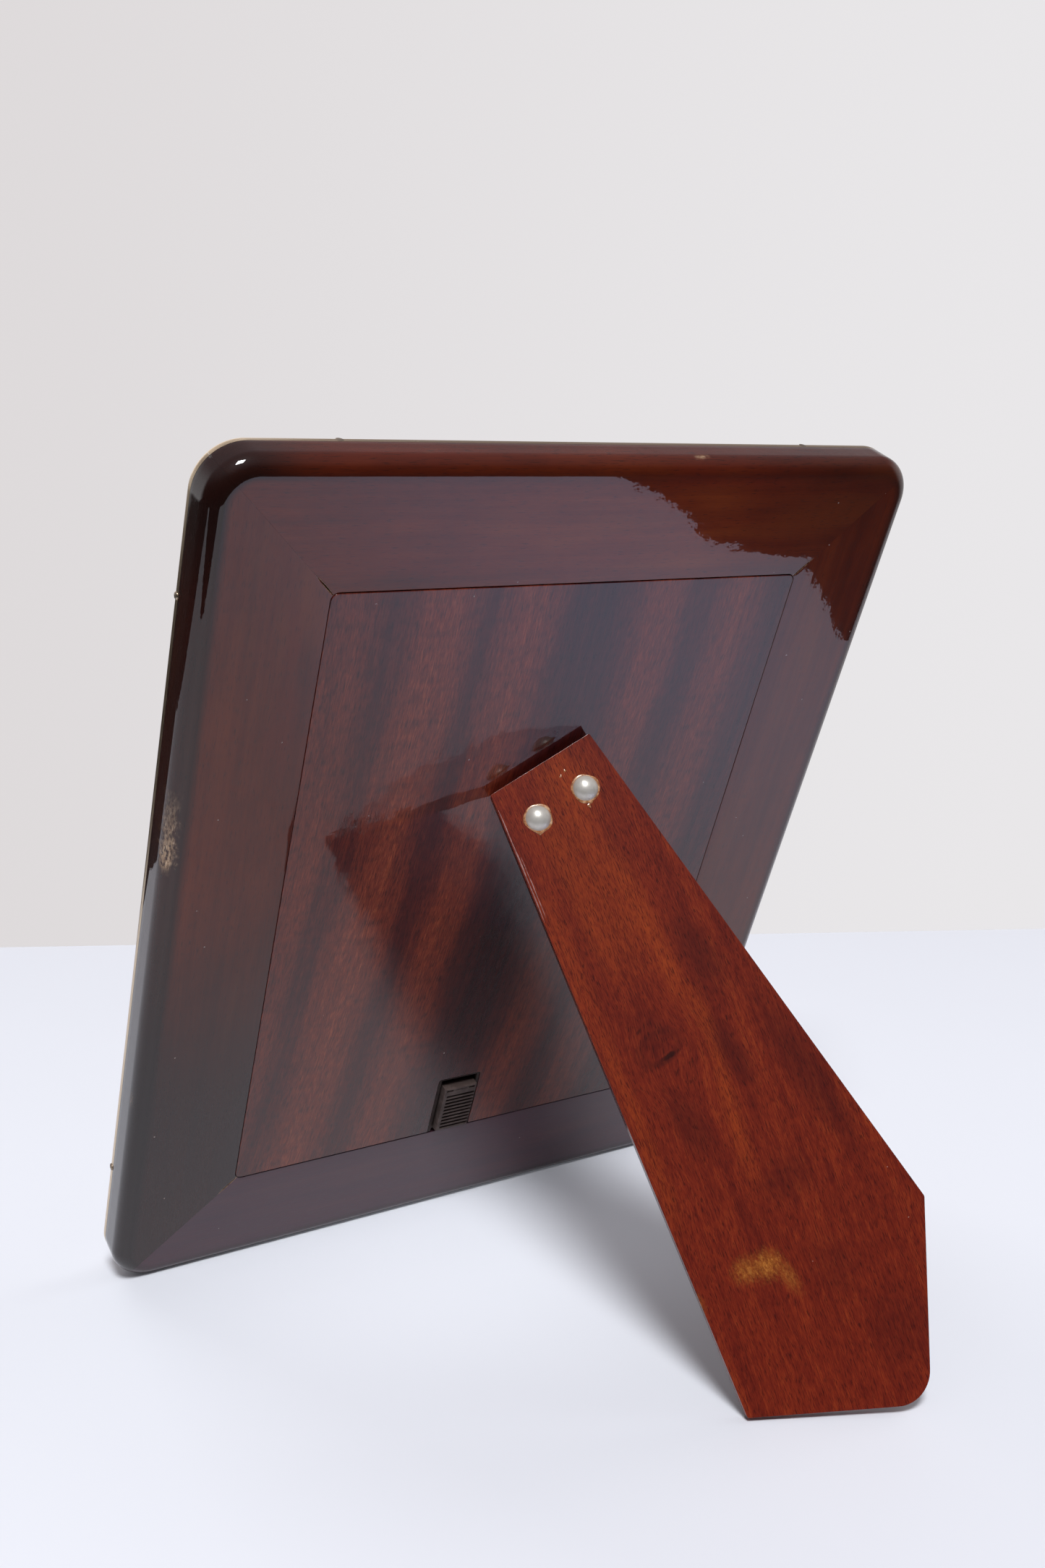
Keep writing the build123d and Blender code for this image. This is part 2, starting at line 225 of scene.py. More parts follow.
def box_outline(x_low, x_high, y_low, y_high):
    """A rectangle, anticlockwise."""
    return [(x_low, y_low), (x_high, y_low), (x_high, y_high), (x_low, y_high)]


def bump_curve(value, low, high):
    """1 in the middle of low to high, 0 outside, smooth between."""
    if value <= low or value >= high:
        return 0.0
    t = (value - low) / (high - low)
    return math.sin(math.pi * t) ** 2


# --- node helpers ---------------------------------------------------------------------------


class Nodes:
    """A node tree, with short ways to add what the materials and the room are made of."""

    def __init__(self, tree):
        self.tree = tree

    def put(self, socket, value):
        """Links a socket, or sets its value."""
        if isinstance(value, bpy.types.NodeSocket):
            self.tree.links.new(value, socket)
        else:
            if socket.type == "RGBA" and len(value) == 3:
                value = (*value, 1.0)
            socket.default_value = value

    def node(self, kind, *values, out=0, props=None, **inputs):
        """A node with its inputs set in order or by name, and one of its outputs."""
        made = self.tree.nodes.new(kind)
        for key, value in (props or {}).items():
            setattr(made, key, value)
        for socket, value in zip(made.inputs, values):
            self.put(socket, value)
        for key, value in inputs.items():
            self.put(made.inputs[key], value)
        return made.outputs[out]

    def attribute(self, name, out="Vector"):
        return self.node("ShaderNodeAttribute", out=out, props={"attribute_name": name})

    def coords(self, kind="Object"):
        return self.node("ShaderNodeTexCoord", out=kind)

    def camera_ray(self):
        return self.node("ShaderNodeLightPath", out="Is Camera Ray")

    def vector_math(self, operation, a, b, out="Vector"):
        return self.node("ShaderNodeVectorMath", a, b, out=out, props={"operation": operation})

    def shifted(self, vector, by):
        return self.vector_math("ADD", vector, by)

    def dot(self, vector, by):
        return self.vector_math("DOT_PRODUCT", vector, by, "Value")

    def scaled(self, vector, size):
        """A vector divided by a length for each axis, or by one length."""
        x, y, z = size if isinstance(size, tuple) else (size, size, size)
        return self.vector_math("MULTIPLY", vector, (1 / x, 1 / y, 1 / z))

    def noise(self, vector, size, detail=2.0, rough=0.5, twist=0.0):
        """Smooth noise whose blobs have a size along each axis."""
        return self.node("ShaderNodeTexNoise", Vector=self.scaled(vector, size), Scale=1.0,
                         Detail=detail, Roughness=rough, Distortion=twist)

    def cloudy(self, vector, size):
        """Noise with finer blobs within its blobs."""
        return self.noise(vector, size, detail=3.0, rough=0.6)

    def cells(self, vector, size):
        """The distance from the nearest of scattered points."""
        return self.node("ShaderNodeTexVoronoi", Vector=self.scaled(vector, size), Scale=1.0)

    def split(self, vector):
        """A vector's x, y and z."""
        return self.node("ShaderNodeSeparateXYZ", vector).node.outputs[:]

    def join(self, x, y, z):
        return self.node("ShaderNodeCombineXYZ", x, y, z)

    def math(self, operation, *values):
        return self.node("ShaderNodeMath", *values, props={"operation": operation})

    def add(self, *values):
        """The sum of two or more values."""
        total = values[0]
        for value in values[1:]:
            total = self.math("ADD", total, value)
        return total

    def sub(self, a, b):
        return self.math("SUBTRACT", a, b)

    def mul(self, a, b):
        return self.math("MULTIPLY", a, b)

    def weigh(self, *pairs):
        """The sum of values, each times its weight."""
        return self.add(*(self.mul(value, weight) for value, weight in pairs))

    def swing(self, value, size):
        """A value that runs 0 to 1, as one that swings about zero."""
        return self.mul(self.sub(value, 0.5), size)

    def remap(self, value, low, high, to_low=0.0, to_high=1.0):
        """A smooth step from low to high."""
        return self.node("ShaderNodeMapRange", value, low, high, to_low, to_high,
                         props={"interpolation_type": "SMOOTHSTEP"})

    def ramp(self, value, stops, between="LINEAR"):
        """A colour or grey ramp from (place, value) stops."""
        made = self.node("ShaderNodeValToRGB", value).node
        made.color_ramp.interpolation = between
        elements = made.color_ramp.elements
        while len(elements) < len(stops):
            elements.new(0.5)
        for element, (place, shade) in zip(elements, stops):
            element.position = place
            element.color = (*shade, 1) if isinstance(shade, tuple) else (shade, shade, shade, 1)
        return made.outputs[0]

    def mix(self, factor, a, b):
        """Two colours mixed."""
        made = self.node("ShaderNodeMix", factor, props={"data_type": "RGBA"}).node
        self.put(made.inputs[6], a)
        self.put(made.inputs[7], b)
        return made.outputs[2]

    def bump(self, height, depth):
        """A normal from a height in 0..1 that stands for a depth in millimetres."""
        return self.node("ShaderNodeBump", Strength=1.0, Distance=depth * MM, Height=height)

    def radial(self, x, y, centre, wide, high):
        """Distance from a point, 1 at the edge of an ellipse."""
        dx = self.math("DIVIDE", self.sub(x, centre[0]), wide)
        dy = self.math("DIVIDE", self.sub(y, centre[1]), high)
        return self.math("SQRT", self.add(self.mul(dx, dx), self.mul(dy, dy)))

    def spot(self, x, y, centre, wide, high, inner, outer, strength=1.0):
        """A soft elliptical patch: its strength inside the inner share, nothing past the outer."""
        return self.remap(self.radial(x, y, centre, wide, high), inner, outer, strength, 0.0)


class Shader(Nodes):
    """A material with one Principled surface."""

    def __init__(self, name):
        self.mat = bpy.data.materials.new(name)
        self.mat.use_nodes = True
        super().__init__(self.mat.node_tree)
        self.bsdf = self.tree.nodes["Principled BSDF"]

    def surface(self, **inputs):
        """Sets the Principled shader's sockets, named with _ for a space."""
        for key, value in inputs.items():
            self.put(self.bsdf.inputs[key.replace("_", " ")], value)
        return self.mat


# --- materials: wood ------------------------------------------------------------------------

LACQUER_IOR = 1.5
DUST_PALE = (0.35, 0.28, 0.25)


def dust(s, grain, size=9.0, share=0.035):
    """A mask of sparse pale specks, a fraction of a millimetre across."""
    near = s.math("LESS_THAN", s.cells(grain, size), share * 0.72)
    broken = s.noise(grain, (0.5, 0.35, 0.5), detail=1.0)
    return s.mul(near, s.math("GREATER_THAN", broken, 0.42))


def fibres(s, grain, pore_size=(3.2, 0.24), pore_bar=0.67):
    """Fine streaks and dark open pores along the fibres: (streaks, pores), each 0..1."""
    fine = s.noise(grain, (14.0, 0.32, 0.5))
    broad = s.noise(grain, (60.0, 1.7, 2.5), rough=0.55)
    streaks = s.weigh((fine, 0.45), (broad, 0.55))
    dashes = s.noise(grain, (*pore_size, 0.5), detail=1.0, rough=0.4)
    return streaks, s.remap(dashes, pore_bar - 0.07, pore_bar + 0.03)


def lacquered(s, colour, streaks, pores, grain, coat_rough=0.03, peel=0.012, relief=0.02):
    """A clear gloss lacquer over wood, with slight orange peel and a faint print of the pores."""
    wave = s.noise(grain, 7.0, detail=1.0)
    small = s.noise(grain, 1.6, detail=1.0)
    coat = s.bump(s.weigh((wave, 0.85), (small, 0.15)), peel * 4)
    grainy = s.bump(s.sub(streaks, s.mul(pores, 0.6)), relief * 2)
    return s.surface(Base_Color=colour, Roughness=0.45, Specular_IOR_Level=0.04, Normal=grainy,
                     Coat_Weight=1.0, Coat_Roughness=coat_rough, Coat_IOR=LACQUER_IOR,
                     Coat_Normal=coat)


def member_wood(name, shift, kept_brightness, fade, edge, corner, darkened_to):
    """Dark stained mahogany under thick lacquer, for one of the four members.

    The third argument is how much of the wood's brightness is left. fade is (from, to, left at
    the end): the stretch along the member over which the wood grows darker. edge is how dark the
    rounded edge is, and corner the (from, to) stretch over which that edge turns nearly black.
    The last argument is the colour that the darkened wood goes to.
    """
    s = Shader(name)
    raw = s.attribute("grain")
    grain = s.shifted(raw, shift)
    streaks, pores = fibres(s, grain)
    drift = s.noise(grain, (90.0, 14.0, 14.0), twist=0.3)
    bands = s.noise(grain, (150.0, 7.0, 9.0))
    cloud = s.cloudy(grain, (26.0, 17.0, 17.0))
    tone = s.weigh((bands, 0.35), (streaks, 0.35), (cloud, 0.30))
    base = s.ramp(tone, ((0.36, (0.084, 0.0115, 0.0045)), (0.50, (0.134, 0.0180, 0.0050)),
                         (0.64, (0.188, 0.0290, 0.0065))))
    flame = s.remap(drift, 0.54, 0.74, 0.0, 0.65)
    base = s.mix(flame, base, (0.215, 0.0440, 0.0085))
    red = s.remap(s.noise(s.shifted(grain, (31, 7, 3)), (55.0, 16.0, 16.0)), 0.56, 0.76, 0, 0.5)
    base = s.mix(red, base, (0.165, 0.0190, 0.0080))
    base = s.mix(s.mul(pores, 0.5), base, (0.022, 0.006, 0.004))
    # The member darker overall, and darker still along the fade's stretch.
    dark = 1.0 - kept_brightness
    if fade:
        dark = s.remap(s.split(raw)[0], fade[0], fade[1], dark, 1.0 - fade[2])
    base = s.mix(dark, base, darkened_to)
    if corner:
        edge = s.remap(s.split(raw)[0], corner[0], corner[1], edge, 0.93)
    rounded = s.remap(s.split(raw)[2], 0.0, -0.9, 0.0, 1.0)
    base = s.mix(s.mul(rounded, edge), base, (0.010, 0.0045, 0.0040))
    worn = s.attribute("wear_and_shade", "Fac")
    ragged = s.noise(grain, (1.6, 0.5, 0.8), detail=3.0, rough=0.65)
    bare = s.mul(worn, s.remap(ragged, 0.36, 0.56))
    tan = s.ramp(s.noise(grain, (2.4, 0.35, 0.5)),
                 ((0.3, (0.22, 0.12, 0.065)), (0.5, (0.45, 0.29, 0.17)), (0.7, (0.66, 0.48, 0.32))))
    base = s.mix(bare, base, tan)
    base = s.mix(dust(s, grain), base, DUST_PALE)
    return lacquered(s, base, streaks, pores, grain)


def leaning(s, grain):
    """The panel's fibres, which lean over more and more as they run down."""
    x, y, z = s.split(grain)
    down = s.math("MAXIMUM", s.sub(92.0, x), 0.0)
    lean = s.mul(s.math("POWER", s.math("DIVIDE", down, 180.0), 1.6), 14.0)
    return s.join(x, s.add(y, lean), z)


# The veneer's stripes: (place across the panel, brightness), and the stretch that they cover.
STRIPES_LOW, STRIPES_WIDE = -80.0, 175.0
STRIPES = (
    (-78, 0.60), (-65, 0.80), (-58, 0.22), (-52, 0.70), (-43, 1.00), (-34, 0.75), (-29, 0.12),
    (-22, 0.80), (-12, 0.95), (-4, 0.35), (4, 0.05), (14, 0.10), (22, 0.60), (31, 0.90), (38, 0.55),
    (43, 0.08), (50, 0.60), (58, 0.85), (66, 0.45), (72, 0.05), (80, 0.45), (88, 0.15))


def veneer_stripes(s, grain):
    """Ribbon stripes of the panel's veneer."""
    wander = s.noise(grain, (55.0, 9.0, 9.0))
    across = s.add(s.split(grain)[1], s.swing(wander, 7.0))
    place = s.math("DIVIDE", s.sub(across, STRIPES_LOW), STRIPES_WIDE)
    stops = [((x - STRIPES_LOW) / STRIPES_WIDE, shade) for x, shade in STRIPES]
    return s.ramp(place, stops, "B_SPLINE")


def veneer_wood():
    """Ribbon-striped sapele under a satin-gloss lacquer."""
    s = Shader("sapele_veneer")
    grain = leaning(s, s.attribute("grain"))
    band = veneer_stripes(s, grain)
    narrow = s.noise(grain, (42.0, 3.0, 4.0), rough=0.6)
    streaks, pores = fibres(s, s.shifted(grain, (5, 11, 0)), (3.4, 0.30), 0.62)
    flecks = s.noise(grain, (4.2, 0.42, 1.0), detail=3.0, rough=0.65)
    lively = s.add(s.mul(band, 0.75), 0.35)
    tone = s.add(s.weigh((band, 0.56), (streaks, 0.30)), s.swing(narrow, 0.45),
                 s.mul(s.sub(flecks, 0.46), lively))
    base = s.ramp(tone, ((0.16, (0.036, 0.0065, 0.0090)), (0.42, (0.090, 0.0145, 0.0120)),
                         (0.72, (0.215, 0.0370, 0.0180)), (1.0, (0.400, 0.0900, 0.0340))))
    along, across = s.split(grain)[:2]
    # Painted shade: the panel darker in a soft patch near its middle and towards its bottom, where
    # less light reaches it.
    painted_shade = s.spot(across, along, (16.0, -34.0), 42.0, 66.0, 0.35, 1.0, 0.42)
    painted_shade = s.math("MAXIMUM", painted_shade, s.remap(along, 10.0, -95.0, 0.0, 0.30))
    base = s.mix(painted_shade, base, (0.010, 0.003, 0.003))
    cross = s.noise(grain, (3.5, 6.0, 6.0), rough=0.6)
    base = s.mix(s.remap(cross, 0.45, 0.70, 0.0, 0.22), base, (0.02, 0.008, 0.007))
    base = s.mix(s.mul(pores, 0.5), base, (0.010, 0.004, 0.004))
    base = s.mix(dust(s, grain, 11.0), base, DUST_PALE)
    return lacquered(s, base, streaks, pores, grain, coat_rough=0.035, peel=0.016, relief=0.03)


# Marks on the strut, in LEG space: the knot, streaks as (middle, lean, half width, from, to,
# strength), and spots as (centre, half width, half height, strength).
KNOT = (-15.3, -86.4)
ORANGE_STREAKS = (
    (0.5, 0.10, 4.0, -76.0, -30.0, 0.60), (-6.0, 0.30, 3.6, -125.0, -76.0, 0.60),
    (-33.5, 0.20, 3.6, -125.0, -70.0, 0.50), (4.0, 0.0, 11.0, -12.0, 4.0, 0.85),
    (-12.0, 0.15, 4.0, -56.0, -10.0, 0.35), (-5.0, 0.10, 13.0, -58.0, -8.0, 0.46),
    (-24.0, 0.19, 5.0, -66.0, -26.0, 0.40))
DARK_SPOTS = (
    ((9.0, -67.0), 8.0, 18.0, 0.5), ((16.0, -112.0), 8.0, 34.0, 0.55),
    ((-6.0, -133.0), 12.0, 9.0, 0.4), ((-16.5, -78.0), 8.0, 12.0, 0.30),
    ((-21.0, -106.0), 6.5, 16.0, 0.5), ((1.0, -96.0), 5.5, 15.0, 0.5),
    ((-2.0, -185.0), 16.0, 18.0, 0.3), ((-9.0, -160.0), 10.0, 14.0, 0.3))
GOLD_SPOTS = (
    ((-24.3, -149.2), 5.4, 4.8, 0.85), ((-30.2, -147.0), 4.8, 4.4, 0.65),
    ((-20.8, -155.0), 2.8, 6.5, 0.45), ((-47.0, -147.0), 2.6, 3.6, 0.55))


def leg_wood():
    """The strut's brighter red mahogany: pores, orange streaks, a knot and gold patches."""
    s = Shader("strut_mahogany")
    raw = s.attribute("grain")
    along, across, deep = s.split(raw)
    near = s.spot(across, along, KNOT, 16.0, 20.0, 0.0, 1.0)
    side = s.sub(across, KNOT[0] + 0.6)
    bent = s.sub(across, s.mul(s.mul(side, near), 0.55))
    swirl = s.noise(raw, (26.0, 12.0, 12.0), detail=1.0)
    bent = s.add(bent, s.swing(swirl, 1.6))
    slant = s.mul(along, s.sub(0.19, s.mul(along, 0.00018)))
    grain = s.join(along, s.sub(bent, slant), deep)
    streaks, pores = fibres(s, grain, (2.2, 0.27), 0.655)
    bands = s.noise(grain, (75.0, 4.0, 6.0), rough=0.55)
    mottle = s.noise(grain, (5.0, 2.4, 4.0), detail=3.0, rough=0.65)
    ticks = s.noise(grain, (2.4, 0.30, 0.6), detail=3.0, rough=0.65)
    tone = s.weigh((bands, 0.20), (streaks, 0.27), (mottle, 0.20), (ticks, 0.33))
    base = s.ramp(tone, ((0.41, (0.096, 0.0095, 0.0058)), (0.48, (0.138, 0.0145, 0.0068)),
                         (0.54, (0.178, 0.0205, 0.0078)), (0.61, (0.235, 0.0340, 0.0095))))
    for middle, lean, half, low, high, strength in ORANGE_STREAKS:
        line = s.add(s.mul(s.sub(along, (low + high) / 2), lean), middle)
        off = s.math("ABSOLUTE", s.sub(bent, line))
        wide = s.remap(off, 0.0, half * 1.25, 1.0, 0.0)
        ends = s.mul(s.remap(along, low - 12, low + 10),
                     s.remap(along, high - 10, high + 8, 1.0, 0.0))
        mask = s.mul(s.mul(wide, ends), s.remap(ticks, 0.36, 0.60, 0.10, strength))
        base = s.mix(mask, base, (0.300, 0.0480, 0.0095))
    for spot, wide, high, strength in DARK_SPOTS:
        mask = s.spot(across, along, spot, wide, high, 0.2, 1.0, strength)
        base = s.mix(mask, base, (0.058, 0.0070, 0.0055))
    arc = s.radial(across, along, (KNOT[0] - 1.0, KNOT[1] + 3.5), 7.5, 5.0)
    ring = s.remap(s.math("ABSOLUTE", s.sub(arc, 0.82)), 0.05, 0.30, 0.75, 0.0)
    ring = s.mul(ring, s.remap(along, KNOT[1] - 3, KNOT[1] + 2, 1.0, 0.35))
    base = s.mix(ring, base, (0.035, 0.0055, 0.0050))
    eye = s.add(s.radial(across, along, KNOT, 2.9, 0.95),
                s.swing(s.noise(raw, (1.0, 1.4, 1.0)), 0.9))
    base = s.mix(s.remap(eye, 0.45, 1.15, 0.88, 0.0), base, (0.022, 0.0045, 0.0035))
    base = s.mix(s.mul(pores, 0.62), base, (0.022, 0.0045, 0.0038))
    # Painted shade: the strut's edges darker towards its inner face, where it is shaded.
    base = s.mix(s.remap(deep, 0.3, 0.9, 0.9, 0.0), base, (0.012, 0.0060, 0.0050))
    gold_mottle = s.noise(raw, (1.1, 0.55, 1.0), detail=3.0, rough=0.7)
    gold = s.ramp(gold_mottle, ((0.35, (0.16, 0.045, 0.010)), (0.52, (0.34, 0.108, 0.017)),
                            (0.70, (0.52, 0.215, 0.042))))
    frayed = s.swing(s.noise(raw, (0.9, 0.7, 2.0), detail=3.0), 0.9)
    for spot, wide, high, strength in GOLD_SPOTS:
        edge = s.add(s.radial(across, along, spot, wide, high), frayed)
        base = s.mix(s.remap(edge, 0.0, 1.20, strength, 0.0), base, gold)
    base = s.mix(dust(s, raw, 8.0, 0.03), base, (0.35, 0.22, 0.18))
    return lacquered(s, base, streaks, pores, raw, coat_rough=0.10, peel=0.02, relief=0.03)


# --- materials: metal, plastic, card --------------------------------------------------------


def metal(name, colour, rough, tarnish):
    """A soft polished metal with faint smudges, hairlines and tarnish."""
    s = Shader(name)
    p = s.attribute("grain")
    smudge = s.noise(p, 14.0, detail=3.0, rough=0.55)
    hair = s.noise(p, (9.0, 0.12, 0.4), detail=1.0)
    base = s.mix(s.remap(smudge, 0.40, 0.72, 0.0, 0.55), colour, tarnish)
    roughness = s.add(rough, s.mul(s.remap(smudge, 0.35, 0.75), 0.16))
    return s.surface(Base_Color=base, Metallic=1.0, Roughness=roughness,
                     Normal=s.bump(s.add(smudge, s.mul(hair, 0.15)), 0.01))


def silver_sheet():
    """Pressed silver-coloured sheet: fine lengthwise brushing, faint warm tarnish, small scuffs."""
    s = Shader("silver_sheet")
    p = s.attribute("grain")
    brushed = s.noise(p, (22.0, 0.10, 0.3), rough=0.6)
    cloud = s.noise(p, (34.0, 26.0, 26.0), detail=3.0)
    scuff = s.cells(p, (9.0, 1.2, 3.0))
    base = s.mix(s.remap(cloud, 0.38, 0.74, 0.0, 0.55), (0.80, 0.775, 0.725), (0.70, 0.645, 0.56))
    base = s.mix(s.remap(brushed, 0.40, 0.66, 0.0, 0.16), base, (0.52, 0.49, 0.45))
    across, level = s.split(p)[1:]
    outer = s.remap(s.math("ABSOLUTE", across), 107.0, 109.0)
    flange = s.mul(outer, s.remap(level, -13.9, -12.9, 0.0, 0.85))
    base = s.mix(flange, base, (0.60, 0.45, 0.28))
    roughness = s.add(0.22, s.mul(brushed, 0.14))
    roughness = s.add(roughness, s.mul(s.math("LESS_THAN", scuff, 0.05), 0.12))
    return s.surface(Base_Color=base, Metallic=1.0, Roughness=roughness,
                     Normal=s.bump(brushed, 0.006))


def pearl_nickel():
    """The rivets' soft pearly nickel under old lacquer."""
    s = Shader("nickel_dome")
    p = s.attribute("grain")
    cloud = s.cloudy(p, 1.6)
    foot = s.remap(s.split(p)[2], STRUT_T + 0.75, STRUT_T + 0.1, 0.0, 0.6)
    base = s.mix(s.remap(cloud, 0.36, 0.68, 0.0, 0.6), (0.67, 0.645, 0.59), (0.60, 0.57, 0.51))
    base = s.mix(foot, base, (0.40, 0.30, 0.19))
    return s.surface(Base_Color=base, Metallic=0.4, Roughness=0.38, Coat_Weight=0.3,
                     Coat_Roughness=0.18, Normal=s.bump(cloud, 0.02))


def plain_metal(name, colour, rough, tarnish):
    """The same kind of metal for a CAD piece, placed by its own coordinates."""
    s = Shader(name)
    p = s.coords()
    smudge = s.cloudy(p, 3 * MM)
    base = s.mix(s.remap(smudge, 0.42, 0.70, 0.0, 0.7), colour, tarnish)
    roughness = s.add(rough, s.mul(smudge, 0.15))
    return s.surface(Base_Color=base, Metallic=1.0, Roughness=roughness,
                     Normal=s.bump(smudge, 0.01))


def moulded(name, colour, rub):
    """Satin moulded plastic with rubbed edges, and painted shade that darkens the pad's grooves and
    hidden faces.
    """
    s = Shader(name)
    p = s.attribute("grain")
    cloud = s.cloudy(p, 3.5)
    fine = s.noise(p, 0.22)
    base = s.mix(s.remap(cloud, 0.42, 0.68, 0.0, 0.5), colour, rub)
    # Painted shade: the per-point value darkens the grooves and hidden faces nearly to black.
    base = s.mix(s.attribute("wear_and_shade", "Fac"), base, (0.0035, 0.0028, 0.0024))
    base = s.mix(s.remap(fine, 0.60, 0.70, 0.0, 0.25), base, (0.16, 0.15, 0.13))
    roughness = s.add(0.42, s.mul(cloud, 0.22))
    return s.surface(Base_Color=base, Roughness=roughness, Specular_IOR_Level=0.14,
                     Normal=s.bump(fine, 0.012))


def card(name, light, dark, size):
    """Paper or board with a fibrous mottle."""
    s = Shader(name)
    p = s.coords()
    fibre = s.noise(p, (size * 4, size * 0.4, size * 0.8), detail=4.0, rough=0.65)
    base = s.ramp(fibre, ((0.3, dark), (0.7, light)))
    return s.surface(Base_Color=base, Roughness=0.85, Normal=s.bump(fibre, 0.06))


def glass():
    """Clear glass that lets the lamps through."""
    s = Shader("clear_glass")
    clear = s.node("ShaderNodeBsdfTransparent", (0.975, 0.985, 0.975))
    gloss = s.node("ShaderNodeBsdfGlossy", Roughness=0.01)
    facing = s.node("ShaderNodeFresnel", IOR=1.5)
    both = s.node("ShaderNodeMixShader", facing, clear, gloss)
    s.put(s.tree.nodes["Material Output"].inputs["Surface"], both)
    s.tree.nodes.remove(s.bsdf)
    return s.mat


# The picture's lines of hills: (level, size of a hill, height, colour).
HILLS = ((2.0, 40.0, 46.0, (0.30, 0.42, 0.54)), (-26.0, 30.0, 40.0, (0.14, 0.29, 0.30)),
         (-58.0, 24.0, 30.0, (0.07, 0.17, 0.09)))
PRINTED = (62.0, 87.0)


def picture():
    """A plain made-up landscape: sky, sun, three lines of hills and a white border."""
    s = Shader("photo_paper")
    p = s.coords()
    x, y = (s.add(s.dot(p, tuple(row[:3])), row[3]) for row in BACK.inverted()[:2])
    sky = s.ramp(s.math("DIVIDE", s.add(y, 100.0), 200.0),
                 ((0.35, (1.0, 0.62, 0.34)), (0.62, (0.92, 0.84, 0.76)), (1.0, (0.30, 0.58, 0.94))))
    sun = s.spot(x, y, (-24.0, 18.0), 11.0, 11.0, 0.95, 1.05)
    base = s.mix(sun, sky, (0.98, 0.82, 0.52))
    line = s.join(x, 0.0, 0.0)
    for level, size, tall, shade in HILLS:
        ridge = s.noise(s.shifted(line, (level, 0, 0)), size, detail=5.0)
        top = s.add(s.swing(ridge, tall), level)
        base = s.mix(s.remap(s.sub(top, y), -0.3, 0.3), base, shade)
    inside = [s.math("LESS_THAN", s.math("ABSOLUTE", v), half) for v, half in zip((x, y), PRINTED)]
    base = s.mix(s.mul(*inside), (0.84, 0.83, 0.80), base)
    return s.surface(Base_Color=base, Roughness=0.35, Coat_Weight=0.3, Coat_Roughness=0.2)


# --- the wooden members ---------------------------------------------------------------------

FRAME_HALF = (112.5, 138.0)
BORDER, WOOD_DEPTH, CORNER_R, BACK_ROUND = 36.0, 13.4, 13.0, 4.7
REBATE_DEPTH, REBATE_R = 10.4, 2.4
LIP_W, LIP_DROP, LIP_R = 7.5, 0.16, 0.25
COVER_TOP, COVER_T = -10.8, 0.6
SIGHT_FROM, SIGHT_INSET = 30.0, 41.9
MITRE_GAP = 0.03
CRACK_FROM, CRACK_HALF, CRACK_DEEP = 30.5, 0.16, 0.25
EDGE_FROM, EDGE_OVER, EDGE_SUNK = 5.9, 1.4, 0.9


def side_path(half_x, half_y, radius, shares):
    """Points from the middle of the top side to the middle of its corner, at shares of the way."""
    straight = half_x - radius
    whole = straight + radius * math.pi / 4
    made = []
    for share in shares:
        d = whole * share
        if d <= straight:
            made.append((d, half_y))
        else:
            a = (d - straight) / radius
            made.append((straight + radius * math.sin(a), half_y - radius + radius * math.cos(a)))
    return made


def corner_radius(s):
    """How round the path is at an inset from the outer edge."""
    if s < CORNER_R:
        return CORNER_R - s
    t = min(max((s - SIGHT_FROM) / 6.0, 0.0), 1.0)
    return REBATE_R * t * t * (3 - 2 * t) if s <= BORDER + 0.01 else 0.0


def member_profile():
    """The member's section as (inset from the outer edge, level) points, back face first."""
    made = [(BORDER - LIP_R * (1 - cosine), -LIP_R * (1 - sine) - LIP_DROP)
            for sine, cosine in quarter_turn(5)]
    for k in range(1, 13):
        s = BORDER - LIP_R - (LIP_W - LIP_R) * k / 12
        made.append((s, -LIP_DROP * ((s - (BORDER - LIP_W)) / LIP_W) ** 2))
    made += [(s, 0.0) for s in (26.0, 23.0, 20.0, 17.0, 14.5, CORNER_R, 11.5, 10.0, 8.5, 7.0)]
    made += [(BACK_ROUND * (1 - sine), -BACK_ROUND * (1 - cosine))
             for sine, cosine in quarter_turn(16)]
    made += [(0.0, -7.0), (0.0, -9.0), (0.0, COVER_TOP + 0.15), (0.15, COVER_TOP),
             (COVER_T, COVER_TOP), (COVER_T, -12.0), (1.0, -13.0)]
    made += [(s, -WOOD_DEPTH) for s in (2.0, 12.0, 22.0, SIGHT_INSET - 10.0)]
    return made + [(SIGHT_INSET, -WOOD_DEPTH + 2.0), (SIGHT_INSET, -REBATE_DEPTH),
                   (BORDER, -REBATE_DEPTH), (BORDER, -7.0), (BORDER, -3.5)]


def end_shares():
    """Shares of the half side at which the members have points, closer near the corner."""
    far, near = 0.86, 0.135
    made = [k / 30 * far for k in range(30)]
    made += [far + near * k / 28 for k in range(28)]
    return made + [0.996, 0.9985, 1.0]


CHIP_LOW, CHIP_HIGH, CHIP_STEP, CHIP_DEEP = 22.5, 44.0, 0.42, 0.42
WEAR_LOW, NICK_DEEP = -9.5, 0.16
# Small nicks on the outer edges: (place along the member, depth below the back).
NICKS = {"rail_top": ((-52.0, 4.6), (31.0, 3.4)), "stile_right": ((74.0, 2.5), (-30.0, 3.0)),
         "stile_left": ((-61.0, 3.6),), "rail_bottom": ((20.0, 2.4),)}


